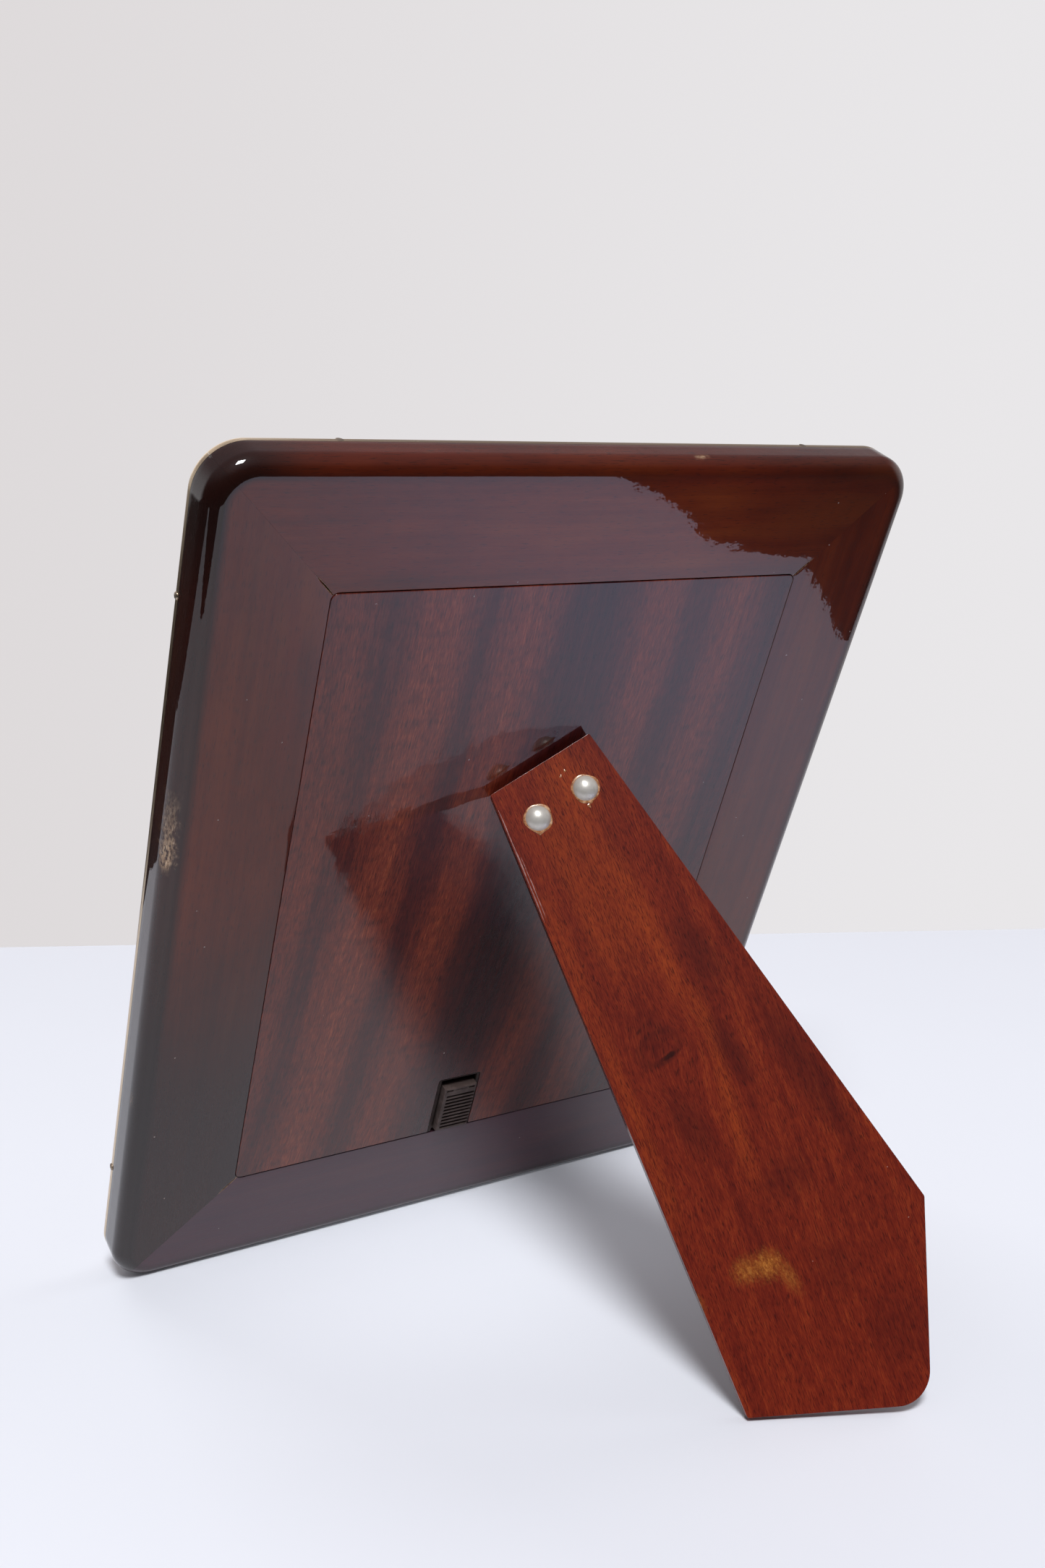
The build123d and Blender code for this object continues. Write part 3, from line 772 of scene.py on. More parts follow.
def chip_amount(along, inset_s, level):
    """How much lacquer is lost on the left rounding: 0 to 1."""
    if not CHIP_LOW - 2 < along < CHIP_HIGH + 2 or inset_s > 5.2:
        return 0.0
    up = (along - CHIP_LOW) / (CHIP_HIGH - CHIP_LOW)
    if level > -BACK_ROUND:
        around = math.acos(max(-1.0, min(1.0, 1 + level / BACK_ROUND)))
    else:
        around = math.pi / 2 + (-BACK_ROUND - level) / BACK_ROUND
    ragged = noise.fractal(Vector((along * 0.45, around * 2.6, 3.7)), 0.8, 2.0, 4)
    fade = min(1.0, max(0.0, 1.15 - up)) * min(1.0, max(0.0, (up + 0.08) * 9))
    body = 1.0 - abs(around - 0.95) / 0.62
    return max(0.0, min(1.0, (body + 0.55 * ragged) * 1.5)) * fade


def off_table(vert):
    """The back-space vertex, raised where the bottom rounding would dip under the table."""
    dip = min(0.0, (BACK @ vert).z)
    return (vert.x, vert.y - dip / BACK[2][1], vert.z)


def chip_shares(shares, half_long):
    """The shares of the side, closer together along the chip."""
    whole = half_long - CORNER_R + CORNER_R * math.pi / 4
    steps = range(int(CHIP_LOW / CHIP_STEP) - 2, int(CHIP_HIGH / CHIP_STEP) + 3)
    chip = [k * CHIP_STEP / whole for k in steps]
    return sorted(set([t for t in shares if not chip[0] - 0.01 < t < chip[-1] + 0.01] + chip))


def weathered(name, s, x, y, z, from_end):
    """A member's point moved by its mitre crack, chip and nicks, and how bare it is."""
    mark = 0.0
    if from_end < 2 and z > -1.0:
        open_by = bump_curve(s, CRACK_FROM, BORDER + 0.8)
        x -= math.copysign((1.0, 0.5)[from_end] * (CRACK_HALF * open_by), x)
        z -= (1.0, 0.35)[from_end] * CRACK_DEEP * open_by
        mark = (1.0, 0.7)[from_end] * min(1.0, open_by * 2.2)
    if from_end == 0:
        x -= math.copysign(MITRE_GAP / 2, x)
    if s <= 5.5 and z > WEAR_LOW and name == "stile_left":
        lost = chip_amount(x, s, z)
        if lost > 0:
            rough = 0.6 + 0.4 * noise.noise(Vector((x * 1.6, s * 1.5, z * 1.5)))
            deep = CHIP_DEEP * lost * rough
            y -= deep * 0.75
            z -= deep * 0.3 if z > -BACK_ROUND else 0.0
            mark = max(mark, lost)
    if s < 6 and z > WEAR_LOW:
        for at, level in NICKS[name]:
            d2 = ((x - at) / 0.9) ** 2 + ((z + level) / 0.7) ** 2
            if d2 < 6:
                y -= NICK_DEEP * math.exp(-d2)
                mark = max(mark, 0.9 * math.exp(-d2 * 1.2))
    return x, y, z, mark


def build_member(name, side, halves, material):
    """One mitred member. side turns the top member to its place; halves are its half sides.

    The grain's level is sunk before the rounding starts, so that the dark edge starts there.
    """
    half_long, half_high = halves
    shares = end_shares()
    right_shares = chip_shares(shares, half_long) if name == "stile_left" else shares
    turn = Matrix.Rotation(math.radians(side), 4, "Z")
    verts, grain, wear_and_shade = [], [], []
    profile = member_profile()
    for s, level in profile:
        size = (half_long - s, half_high - s, corner_radius(s))
        left = [(-x, y) for x, y in side_path(*size, shares)]
        path = left[:0:-1] + side_path(*size, right_shares)
        count = len(path)
        sunk = EDGE_SUNK * min(1.0, max(0.0, (EDGE_FROM - s) / EDGE_OVER))
        for i, (x, y) in enumerate(path):
            x, y, z, mark = weathered(name, s, x, y, level, min(i, count - 1 - i))
            verts.append(off_table(turn @ Vector((x, y, z))))
            grain.append((x, y - half_high, z - sunk))
            wear_and_shade.append(mark)
    faces = []
    for r in range(len(profile)):
        here, after = r * count, (r + 1) % len(profile) * count
        faces += [(here + i, here + i + 1, after + i + 1, after + i) for i in range(count - 1)]
    starts = [r * count for r in range(len(profile))]
    faces += [tuple(starts), tuple(start + count - 1 for start in reversed(starts))]
    return new_piece("wood_" + name, verts, faces, "frame", material, BACK, grain, wear_and_shade,
                     (name,))


UPRIGHT = FRAME_HALF[::-1]
BLACK_DARKENING, PLUM_DARKENING = (0.012, 0.006, 0.006), (0.042, 0.026, 0.045)
for member, side, halves, *look in (
        ("rail_top", 0, FRAME_HALF,
         (40, 3, 9), 1.0, (30.0, 95.0, 0.60), 0.42, (-78.0, -104.0), BLACK_DARKENING),
        ("stile_left", 90, UPRIGHT,
         (210, 60, 31), 0.80, (35.0, -75.0, 0.10), 0.78, (96.0, 124.0), BLACK_DARKENING),
        ("rail_bottom", 180, FRAME_HALF,
         (470, 20, 55), 0.22, None, 0.5, None, PLUM_DARKENING),
        ("stile_right", 270, UPRIGHT,
         (730, 90, 12), 0.68, (20.0, 125.0, 0.35), 0.6, None, BLACK_DARKENING)):
    build_member(member, side, halves, member_wood("mahogany_" + member, *look))

# --- the pressed metal front ----------------------------------------------------------------

COVER_FRONT, FRONT_R, COVER_SIGHT = -14.0, 2.0, 42.5
SIGHT_HALF = (70.0, 95.0)
SLOPE_W, SLOPE_DROP = 10.6, 2.12


def groove(at):
    """A shallow pressed groove in the sheet's front."""
    top, floor, deep = 0.35, 0.15, 0.14
    return [(at - top, COVER_FRONT), (at - floor, COVER_FRONT + deep),
            (at + floor, COVER_FRONT + deep), (at + top, COVER_FRONT)]


def cover_profile():
    """The sheet's section as (inset, level) points: outside first, then inside."""
    made = [(0.0, COVER_TOP), (0.0, -11.4)]
    made += [(FRONT_R * (1 - cosine), COVER_FRONT + FRONT_R * (1 - sine))
             for sine, cosine in quarter_turn(8)]
    made += groove(4.6) + groove(6.2)
    made += [(12.0, COVER_FRONT), (18.0, COVER_FRONT), (24.0, COVER_FRONT)]
    made += groove(28.2) + groove(29.6)
    slope, low, back = COVER_SIGHT - SLOPE_W, COVER_FRONT + SLOPE_DROP, -WOOD_DEPTH - 0.02
    made += [(slope + 0.6 * k, COVER_FRONT + drop) for k, drop in ((-1, 0.0), (0, 0.02), (1, 0.14))]
    made += [(slope + 5.0, COVER_FRONT + 1.0), (42.2, low - 0.06), (42.44, low + 0.05),
             (COVER_SIGHT, low + 0.2), (COVER_SIGHT, COVER_TOP), (41.95, COVER_TOP),
             (41.95, -11.36)]
    made += [(inset_by, back) for inset_by in (SIGHT_INSET - 10.0, 20.0, 2.0)]
    return made + [(1.0, -13.02), (COVER_T - 0.02, -12.0), (COVER_T - 0.02, COVER_TOP)]


def build_cover():
    """The whole pressed sheet as one ring."""
    shares = end_shares()
    verts, grain, profile = [], [], cover_profile()
    extra = FRAME_HALF[1] - COVER_SIGHT - SIGHT_HALF[1]
    for s, z in profile:
        radius = max(CORNER_R - s, 0.0)
        taper = extra * min(max((s - SIGHT_FROM) / (COVER_SIGHT - SIGHT_FROM), 0.0), 1.0)
        hx, hy = FRAME_HALF[0] - s, FRAME_HALF[1] - s - taper
        eighth = side_path(hx, hy, radius, shares)
        other = [(y, x) for x, y in side_path(hy, hx, radius, shares)]
        quarter = eighth + other[::-1][1:]
        path = quarter + [(x, -y) for x, y in quarter[::-1][1:]]
        path += [(-x, -y) for x, y in quarter[1:]]
        path += [(-x, y) for x, y in quarter[::-1][1:-1]]
        verts += [(x, y, z) for x, y in path]
        for x, y in path:
            upright = abs(x) - hx + 1e-6 > abs(y) - hy
            grain.append((y, x, z) if upright else (x, y, z))
    size = len(verts) // len(profile)
    faces = [tuple(reversed(f)) for f in ring_faces(len(profile), size)]
    last = (len(profile) - 1) * size
    faces += [(last + (i + 1) % size, last + i, i, (i + 1) % size)[::-1] for i in range(size)]
    return new_piece("pressed_front", verts, faces, "frame", silver_sheet(), BACK, grain, None,
                     ("front_cover",), sharp=60)


build_cover()

# --- fixings --------------------------------------------------------------------------------

PIN_LEVEL, PIN_HEAD_R = -12.0, 1.1
PINS_UP_SIDE, PINS_ALONG_TOP = 97.0, 75.0


def cover_pins():
    """Eight small domed nails, each sitting a little differently against the flange."""
    profile = [(0, -1.5), (0.45, -1.5), (0.45, -0.02), (PIN_HEAD_R, -0.02), (PIN_HEAD_R, 0.08),
               (1.02, 0.18),
               (0.82, 0.28), (0.52, 0.35), (0.2, 0.39), (0, 0.39)]
    both = (-1, 1)
    seats = [((side * FRAME_HALF[0], end * PINS_UP_SIDE), (side, 0))
             for side in both for end in both]
    seats += [((end * PINS_ALONG_TOP, side * FRAME_HALF[1]), (0, side))
              for side in both for end in both]
    up = Vector((0, 0, 1))
    shapes = []
    for index, (at, facing) in enumerate(seats):
        out = Vector((*facing, 0))
        turn = Matrix((up.cross(out), up, out)).transposed().to_4x4()
        spin = Matrix.Rotation(index * 1.3, 4, "Z")
        seat = Matrix.Diagonal((1, 1, 1 if facing[0] else 0.12, 1))
        pin = lathe(profile, 20, lambda a, i=index: 1 + 0.03 * math.sin(2 * a + i) - 0.03)
        shapes.append(moved(pin, Matrix.Translation((*at, PIN_LEVEL)) @ turn @ spin @ seat))
    verts, faces = merge(*shapes)
    return new_piece("pin_heads", verts, faces, "frame",
                     metal("silver_pin", (0.42, 0.34, 0.26), 0.34, (0.12, 0.08, 0.05)),
                     replaces=("cover_pins",))


cover_pins()

# --- the back panel and its catch -----------------------------------------------------------

PANEL_HALF = (76.1, 101.6)
VENEER_HALF = (76.20, 101.78)
VENEER_WIDER, VENEER_SHORTER = 0.24, 0.22
PANEL_R = 2.0
RECESS_HALF, RECESS_TOP, RECESS_DEPTH = 7.9, -78.6, 3.2
TRAY_T, TRAY_WALL, TRAY_LIP, TRAY_SUNK = 0.8, 0.6, 0.6, 0.15
TRAY_HALF, TRAY_FLOOR = RECESS_HALF - 0.1, -RECESS_DEPTH + TRAY_T
PAD_HALF, PAD_TOP, PAD_BOTTOM, PAD_PROUD = 6.0, -81.6, -100.0, 2.0
PAD_SOFT, PAD_DROP = 0.45, 0.35
TONGUE_HALF, TONGUE_T, TONGUE_REACH = 4.0, 1.05, 1.8
RIB_PITCH, RIB_GROOVE, RIB_DEEP = 1.5, 0.86, 0.9
RIB_STARTS = [PAD_BOTTOM + 1.0 + rib * RIB_PITCH for rib in range(10)]


def turned_grain(verts):
    """Grain coordinates for wood whose fibres run up the local y axis."""
    return [(y, x, z) for x, y, z in verts]


def panel_veneer():
    """The veneered back panel's face, with the catch's recess cut in its lower edge."""
    wide, high = VENEER_HALF
    left, low = wide + VENEER_WIDER, high - VENEER_SHORTER
    corners = [(-left, -low), (-RECESS_HALF, -low), (-RECESS_HALF, RECESS_TOP),
               (RECESS_HALF, RECESS_TOP), (RECESS_HALF, -low), (wide, -low), (wide, high),
               (-left, high)]
    radii = [PANEL_R, 0.35, 0.8, 0.8, 0.35, PANEL_R, PANEL_R, PANEL_R]
    verts, faces = slab(rounded_outline(corners, radii, 6), -VENEER_T, 0.0, 0.15, 3, 0.0001)
    return new_piece("veneer_face", verts, faces, "frame", veneer_wood(), BACK, turned_grain(verts),
                     replaces=("panel_veneer",))


def frame_outline(half, wall, low, high):
    """A U-shaped outline, open at the bottom."""
    inner, top = half - wall, high - TRAY_WALL
    return [(-half, low), (-inner, low), (-inner, top), (inner, top), (inner, low), (half, low),
            (half, high), (-half, high)]


def catch_tray(black):
    """The moulded tray that the slider runs in."""
    half, low, high = TRAY_HALF, -PANEL_HALF[1], RECESS_TOP - 0.1
    lip = TRAY_FLOOR + TONGUE_T + 0.25
    wall, lip_wall = (frame_outline(half, w, low, high) for w in (TRAY_WALL, TRAY_WALL + TRAY_LIP))
    verts, faces = merge(
        slab(box_outline(-half, half, low, high), -RECESS_DEPTH, TRAY_FLOOR, 0.02, 1),
        slab(wall, TRAY_FLOOR - 0.05, lip, 0.02, 1),
        slab(lip_wall, lip - 0.02, -TRAY_SUNK, 0.14, 3, 0.02))
    return new_piece("catch_well", verts, faces, "frame", black, replaces=("catch_tray",),
                     sharp=40)


def groove_depth(y):
    """How deep the pad's ribbing is at a distance up the frame, with rounded ribs."""
    for start in RIB_STARTS:
        t = (y - start) / RIB_GROOVE
        if 0 <= t <= 1:
            return RIB_DEEP * min(1.0, math.sin(math.pi * t) * 1.45)
    return 0.0


GROOVE_FROM = -PAD_HALF + 1.15
NOTCHES = ((-5.35, -2.75), (3.05, 5.35))


def pad_height(x, y):
    """The thumb pad's surface: ribs, end notches and softened edges."""
    height = PAD_PROUD
    for from_edge in (PAD_HALF - abs(x), min(PAD_TOP - y, y - PAD_BOTTOM)):
        rim = min(from_edge, PAD_SOFT) / PAD_SOFT
        height -= PAD_DROP * (1 - math.sqrt(max(0.0, 1 - (1 - rim) ** 2)))
    inside = min(1.0, max(0.0, (x - GROOVE_FROM) / 0.12))
    height -= groove_depth(y) * inside
    for low, high in NOTCHES:
        if low < x < high and PAD_TOP - 1.25 < y < PAD_TOP - 0.62:
            height -= 0.55
    if abs(x) < 2.2 and PAD_TOP - 1.05 < y < PAD_TOP - 0.8:
        height -= 0.12
    return height


def pad_shape():
    """The thumb pad as one closed solid over a fine grid."""
    xs = [-PAD_HALF + v for v in (0.0, 0.05, 0.13, 0.24, 0.36, 0.47, 0.58, 0.68, 0.90)]
    xs += [GROOVE_FROM - 0.11, GROOVE_FROM, GROOVE_FROM + 0.06, GROOVE_FROM + 0.13]
    for low, high in NOTCHES:
        xs += [low - 0.001, low + 0.03, (low + high) / 2, high - 0.03, high + 0.001]
    xs += [-2.21, -2.18, -1.0, 0.0, 1.0, 2.18, 2.21]
    xs += [PAD_HALF - v for v in (0.0, 0.05, 0.13, 0.24, 0.36, 0.47, 0.60)]
    ys = [PAD_BOTTOM + v for v in (0.0, 0.05, 0.14, 0.26, 0.42, 0.70)]
    for start in RIB_STARTS:
        ys += [start + RIB_GROOVE * t for t in (0.0, 0.09, 0.22, 0.36, 0.5, 0.64, 0.78, 0.91, 1.0)]
    ys += [PAD_TOP - v for v in (1.60, 1.251, 1.23, 1.06, 1.04, 0.94, 0.81, 0.79, 0.64, 0.619,
                                 0.45, 0.30, 0.18, 0.08, 0.02, 0.0)]
    xs, ys = sorted(set(xs)), sorted(set(ys))
    verts = [(x, y, pad_height(x, y)) for y in ys for x in xs]
    # Painted shade: the ribs' grooves go nearly black.
    wear_and_shade = [min(1.0, groove_depth(y) / RIB_DEEP) * (0.95 if x > GROOVE_FROM - 0.1 else 0.0)
             for y in ys for x in xs]
    wide, tall, top = len(xs), len(ys), len(verts)
    bottom = TRAY_FLOOR + 0.1 + TONGUE_T - 0.05
    verts += [(x, y, bottom) for y in ys for x in xs]
    # Painted shade: the pad's underside half dark.
    wear_and_shade += [0.5] * top
    faces = []
    for j in range(tall - 1):
        for i in range(wide - 1):
            a = j * wide + i
            faces.append((a, a + 1, a + wide + 1, a + wide))
            faces.append((a + top, a + wide + top, a + wide + 1 + top, a + 1 + top))
    rim = list(range(wide)) + [j * wide + wide - 1 for j in range(1, tall)]
    rim += [(tall - 1) * wide + i for i in range(wide - 2, -1, -1)]
    rim += [j * wide for j in range(tall - 2, 0, -1)]
    for k, a in enumerate(rim):
        b = rim[(k + 1) % len(rim)]
        faces.append((a, a + top, b + top, b))
    return verts, faces, wear_and_shade


def catch_slider(black):
    """The sliding catch: ribbed pad, base plate and tongue."""
    floor = TRAY_FLOOR + 0.1
    half = TRAY_HALF - TRAY_WALL - 0.15
    edge, tip, top = -PANEL_HALF[1] + 0.1, -PANEL_HALF[1] - TONGUE_REACH, PAD_TOP - 0.4
    outline = [(-half, edge), (-TONGUE_HALF, edge), (-TONGUE_HALF, tip), (TONGUE_HALF, tip),
               (TONGUE_HALF, edge), (half, edge), (half, top), (-half, top)]
    plate = slab(outline, floor, floor + TONGUE_T, 0.12, 2)
    pad_verts, pad_faces, pad_groove_shade = pad_shape()
    verts, faces = merge(plate, (pad_verts, pad_faces))
    # Painted shade: the base plate, under the pad, a little darker.
    wear_and_shade = [0.3] * len(plate[0]) + pad_groove_shade
    return new_piece("catch_pad", verts, faces, "catch", black, wear_and_shade=wear_and_shade,
                     replaces=("catch_slider",), sharp=32)


panel_veneer()
catch_tray(moulded("black_plastic", (0.024, 0.015, 0.013), (0.045, 0.028, 0.024)))
catch_slider(moulded("brown_black_plastic", (0.058, 0.040, 0.036), (0.125, 0.092, 0.084)))

# --- the strut and its rivets ---------------------------------------------------------------

STRUT_T, RAW_T = 3.4, 0.3
STRUT_CORNERS = [(-52.0, -179.5), (-6.9, -205.8), (24.5, -159.1), (17.3, 3.9), (-17.3, 3.9)]
STRUT_OUTLINE = rounded_outline(STRUT_CORNERS, [0.8, 10.0, 1.5, 0.5, 0.5], 14)
RIVET_SPOTS = ((-9.3, -9.2), (7.3, -9.2))
RIVET_R, RIVET_SHANK_R, RIVET_HEAD, RIVET_TAIL = 3.8, 1.6, 2.3, 1.5
# Flakes of lacquer: (x, y, half width, half height, turn).
FLAKES = ((3.1, -2.3, 1.1, 0.55, 0.5), (5.0, -1.6, 0.9, 0.8, 1.1), (5.4, -14.0, 0.9, 1.3, 0.1))


def strut_board():
    """The five-sided strut with lacquer-softened edges."""
    verts, faces = slab(STRUT_OUTLINE, RAW_T, STRUT_T, 0.09, 3, 0.01)
    return new_piece("strut_wood", verts, faces, "strut", leg_wood(), LEG, turned_grain(verts),
                     replaces=("strut_board",), sharp=60)


def strut_underside():
    """The strut's unlacquered inner face, its colour darkened as painted shade."""
    s = Shader("raw_mahogany_painted_shade")
    grain = s.attribute("grain")
    streaks, pores = fibres(s, grain, (2.6, 0.26), 0.62)
    # Painted shade: much darker than the lacquered outer face, for the face turned away from the
    # light.
    base = s.ramp(streaks, ((0.36, (0.014, 0.0050, 0.0035)), (0.62, (0.036, 0.0120, 0.0075))))
    base = s.mix(s.mul(pores, 0.6), base, (0.006, 0.003, 0.002))
    s.surface(Base_Color=base, Roughness=0.7, Specular_IOR_Level=0.15, Normal=s.bump(streaks, 0.06))
    verts, faces = slab(STRUT_OUTLINE, 0.0, RAW_T, 0.01, 1, 0.2)
    return new_piece("strut_underside", verts, faces, "strut", s.mat, LEG, turned_grain(verts),
                     sharp=60)


def rivet_profile():
    """Half section of a rivet, from the end of its shank to the top of its dome."""
    ball = (RIVET_R**2 + RIVET_HEAD**2) / (2 * RIVET_HEAD)
    centre = STRUT_T + RIVET_HEAD - ball
    widest = math.asin(RIVET_R / ball)
    made = [(0, -RIVET_TAIL), (RIVET_SHANK_R - 0.25, -RIVET_TAIL),
            (RIVET_SHANK_R, -RIVET_TAIL + 0.3), (RIVET_SHANK_R, STRUT_T + 0.02),
            (RIVET_R - 0.12, STRUT_T + 0.02), (RIVET_R, STRUT_T + 0.12)]
    for k in range(1, 13):
        a = widest * (1 - k / 13)
        made.append((ball * math.sin(a), centre + ball * math.cos(a)))
    return made + [(0, STRUT_T + RIVET_HEAD)]


def rivets():
    """The two domed rivets."""
    rivet = lathe(rivet_profile(), 48)
    verts, faces = merge(*(moved(rivet, Matrix.Translation((*at, 0))) for at in RIVET_SPOTS))
    return new_piece("rivet_domes", verts, faces, "strut", pearl_nickel(), LEG,
                     replaces=("strut_rivets",))


def amber():
    """Thick old lacquer squeezed out around the rivets."""
    s = Shader("amber_lacquer")
    p = s.attribute("grain")
    cloud = s.cloudy(p, 1.3)
    base = s.ramp(cloud, ((0.32, (0.20, 0.060, 0.022)), (0.50, (0.44, 0.20, 0.085)),
                          (0.66, (0.62, 0.40, 0.24))))
    return s.surface(Base_Color=base, Roughness=0.25, Coat_Weight=0.6, Coat_Roughness=0.1,
                     Normal=s.bump(cloud, 0.08))


def lacquer_rings():
    """A thin uneven ring of lacquer under each dome, with a small run below it and three flakes."""
    def wobble(a, i):
        """How far the ring reaches at an angle, with a run of lacquer below it."""
        run = math.exp(-((a - 4.25 - 0.25 * i) / 0.16) ** 2)
        return 1 + 0.035 * math.sin(3 * a + 1.9 * i) + 0.025 * math.sin(5 * a + i) + 0.14 * run

    section = ((0, -0.05), (4.22, -0.05), (4.26, 0.05), (4.12, 0.16), (3.88, 0.20), (3.5, 0.20),
               (0, 0.20))
    profile = [(radius, STRUT_T + z) for radius, z in section]
    shapes = []
    for index, at in enumerate(RIVET_SPOTS):
        ring = lathe(profile, 72, lambda a, i=index: wobble(a, i))
        shapes.append(moved(ring, Matrix.Translation((*at, 0))))
    flake = [(0, -0.05), (0.5, -0.05), (0.46, 0.05), (0.25, 0.11), (0, 0.12)]
    for x, y, wide, high, turn in FLAKES:
        place = Matrix.Translation((x, y, STRUT_T)) @ Matrix.Rotation(turn, 4, "Z")
        place = place @ Matrix.Diagonal((wide, high, 1, 1))
        shapes.append(moved(lathe(flake, 14, lambda a: 1 + 0.25 * math.sin(3 * a)), place))
    verts, faces = merge(*shapes)
    return new_piece("lacquer_rings", verts, faces, "strut", amber(), LEG)


EDGE_TOP, EDGE_LOW = Vector(STRUT_CORNERS[4]), Vector(STRUT_CORNERS[0])


def bead(start, stop, gap, wide, high):
    """A thin tapering bead of lacquer along the strut's left edge, by distance down it."""
    down = (EDGE_LOW - EDGE_TOP).normalized()
    inwards = Vector((-down.y, down.x))
    if inwards.x < 0:
        inwards = -inwards
    steps, round_steps = 40, 6
    verts = []
    for k in range(steps + 1):
        t = k / steps
        here = EDGE_TOP + down * (start + (stop - start) * t)
        fat = wide * (0.25 + 0.75 * math.sin(math.pi * t) ** 0.6) * (1 + 0.2 * math.sin(17 * t))
        for j in range(round_steps + 1):
            a = math.pi * j / round_steps
            off = gap + fat * 0.5 * (1 - math.cos(a))
            point = here + inwards * off
            verts.append((point.x, point.y, STRUT_T - 0.06 + (0.06 + high) * math.sin(a)))
    size = round_steps + 1
    faces = ring_faces(steps + 1, size)
    faces.append(tuple(range(size - 1, -1, -1)))
    faces.append(tuple(range(steps * size, (steps + 1) * size)))
    return verts, faces


def edge_beads():
    """Two thin beads of lacquer on the left edge, near the rivets, pale as a painted highlight."""
    s = Shader("lacquer_painted_highlight")
    p = s.attribute("grain")
    cloud = s.cloudy(p, 1.5)
    # Painted highlight: the beads' pale colour stands for the shine along the strut's edge.
    base = s.ramp(cloud, ((0.35, (0.20, 0.075, 0.065)), (0.65, (0.42, 0.24, 0.22))))
    s.surface(Base_Color=base, Roughness=0.3, Coat_Weight=1.0, Coat_Roughness=0.08,
              Normal=s.bump(cloud, 0.05))
    verts, faces = merge(bead(5.0, 40.0, 0.30, 0.42, 0.12), bead(20.0, 39.0, 1.15, 0.30, 0.10))
    return new_piece("lacquer_beads", verts, faces, "strut", s.mat, LEG,
                     sharp=60)


strut_board()
strut_underside()
rivets()
lacquer_rings()
edge_beads()

# --- CAD pieces that keep their shape -------------------------------------------------------


def dress(node, material):
    """Gives a CAD node a material."""
    for slot in frame["nodes"][node].material_slots:
        slot.material = material


BRASS = plain_metal("brass_plate", (0.50, 0.35, 0.15), 0.30, (0.22, 0.13, 0.06))
for brass in ("hinge_fixed_leaf", "hinge_moving_leaf", "rivet_burrs"):
    dress(brass, BRASS)
dress("hinge_screws", plain_metal("brass_screw", (0.66, 0.49, 0.24), 0.24, (0.22, 0.13, 0.06)))
STEEL = plain_metal("zinc_steel", (0.55, 0.56, 0.58), 0.30, (0.25, 0.22, 0.20))
for steel in ("hinge_pin", "locating_pins", "mitre_nails"):
    dress(steel, STEEL)
dress("glass_pane", glass())
dress("picture_print", picture())
dress("filler_card", card("corrugated_card", (0.42, 0.30, 0.19), (0.30, 0.20, 0.12), 1 * MM))
dress("panel_lining", card("lining_paper", (0.62, 0.60, 0.56), (0.50, 0.48, 0.44), 1 * MM))
dress("panel_core", card("hardboard", (0.16, 0.095, 0.055), (0.085, 0.048, 0.028), 0.6 * MM))

# --- stage, light and camera ----------------------------------------------------------------

CAMERA_AT = Vector((0.2528, 0.3719, 0.2693))
CAMERA_AIM = Vector((0.01813, 0.00149, 0.16819))
CAMERA_ROLL = 1.43
LENS = 37.22
WALL_A, WALL_B = Vector((0.059, -0.421)), Vector((-0.444, -0.190))
# Painted light (glow, bounce) and painted shade on the table: place, half sizes, strength.
# The glow and the shade are seen only in reflections and bounced light.
GLOW_AT, GLOW_WIDE, GLOW_HIGH, GLOW = (-0.22, 0.26), 0.28, 0.32, 0.70
BOUNCE_AT, BOUNCE_WIDE, BOUNCE_HIGH, BOUNCE = (0.0, -0.045), 0.17, 0.10, 0.13
SHADE_AT, SHADE_WIDE, SHADE_HIGH, SHADE = (-0.050, 0.002), 0.050, 0.066, 0.62


TABLE_LEFT, TABLE_RIGHT = 0.60, -0.80
TABLE_EDGE = (
    (TABLE_LEFT, 0.10), (0.42, 0.135), (0.30, 0.163), (0.225, 0.20), (0.19, 0.24), (0.15, 0.30),
    (-0.262, 0.300), (-0.268, 0.275), (-0.287, 0.256), (-0.299, 0.228), (-0.330, 0.216),
    (-0.352, 0.206), (-0.350, 0.182), (-0.345, 0.158), (-0.375, 0.140), (-0.45, 0.150),
    (TABLE_RIGHT, 0.120))


def wall_point(x):
    """Where the floor's far edge is, at a distance along the room."""
    slope = (WALL_B.y - WALL_A.y) / (WALL_B.x - WALL_A.x)
    return (x, WALL_A.y + (x - WALL_A.x) * slope)


def flat_piece(name, outline, material, level=0.0):
    """A flat piece of the set."""
    mesh = bpy.data.meshes.new(name)
    mesh.from_pydata([(x, y, level) for x, y in outline], [], [tuple(range(len(outline)))])
    mesh.materials.append(material)
    obj = bpy.data.objects.new(name, mesh)
    bpy.context.scene.collection.objects.link(obj)
    return obj


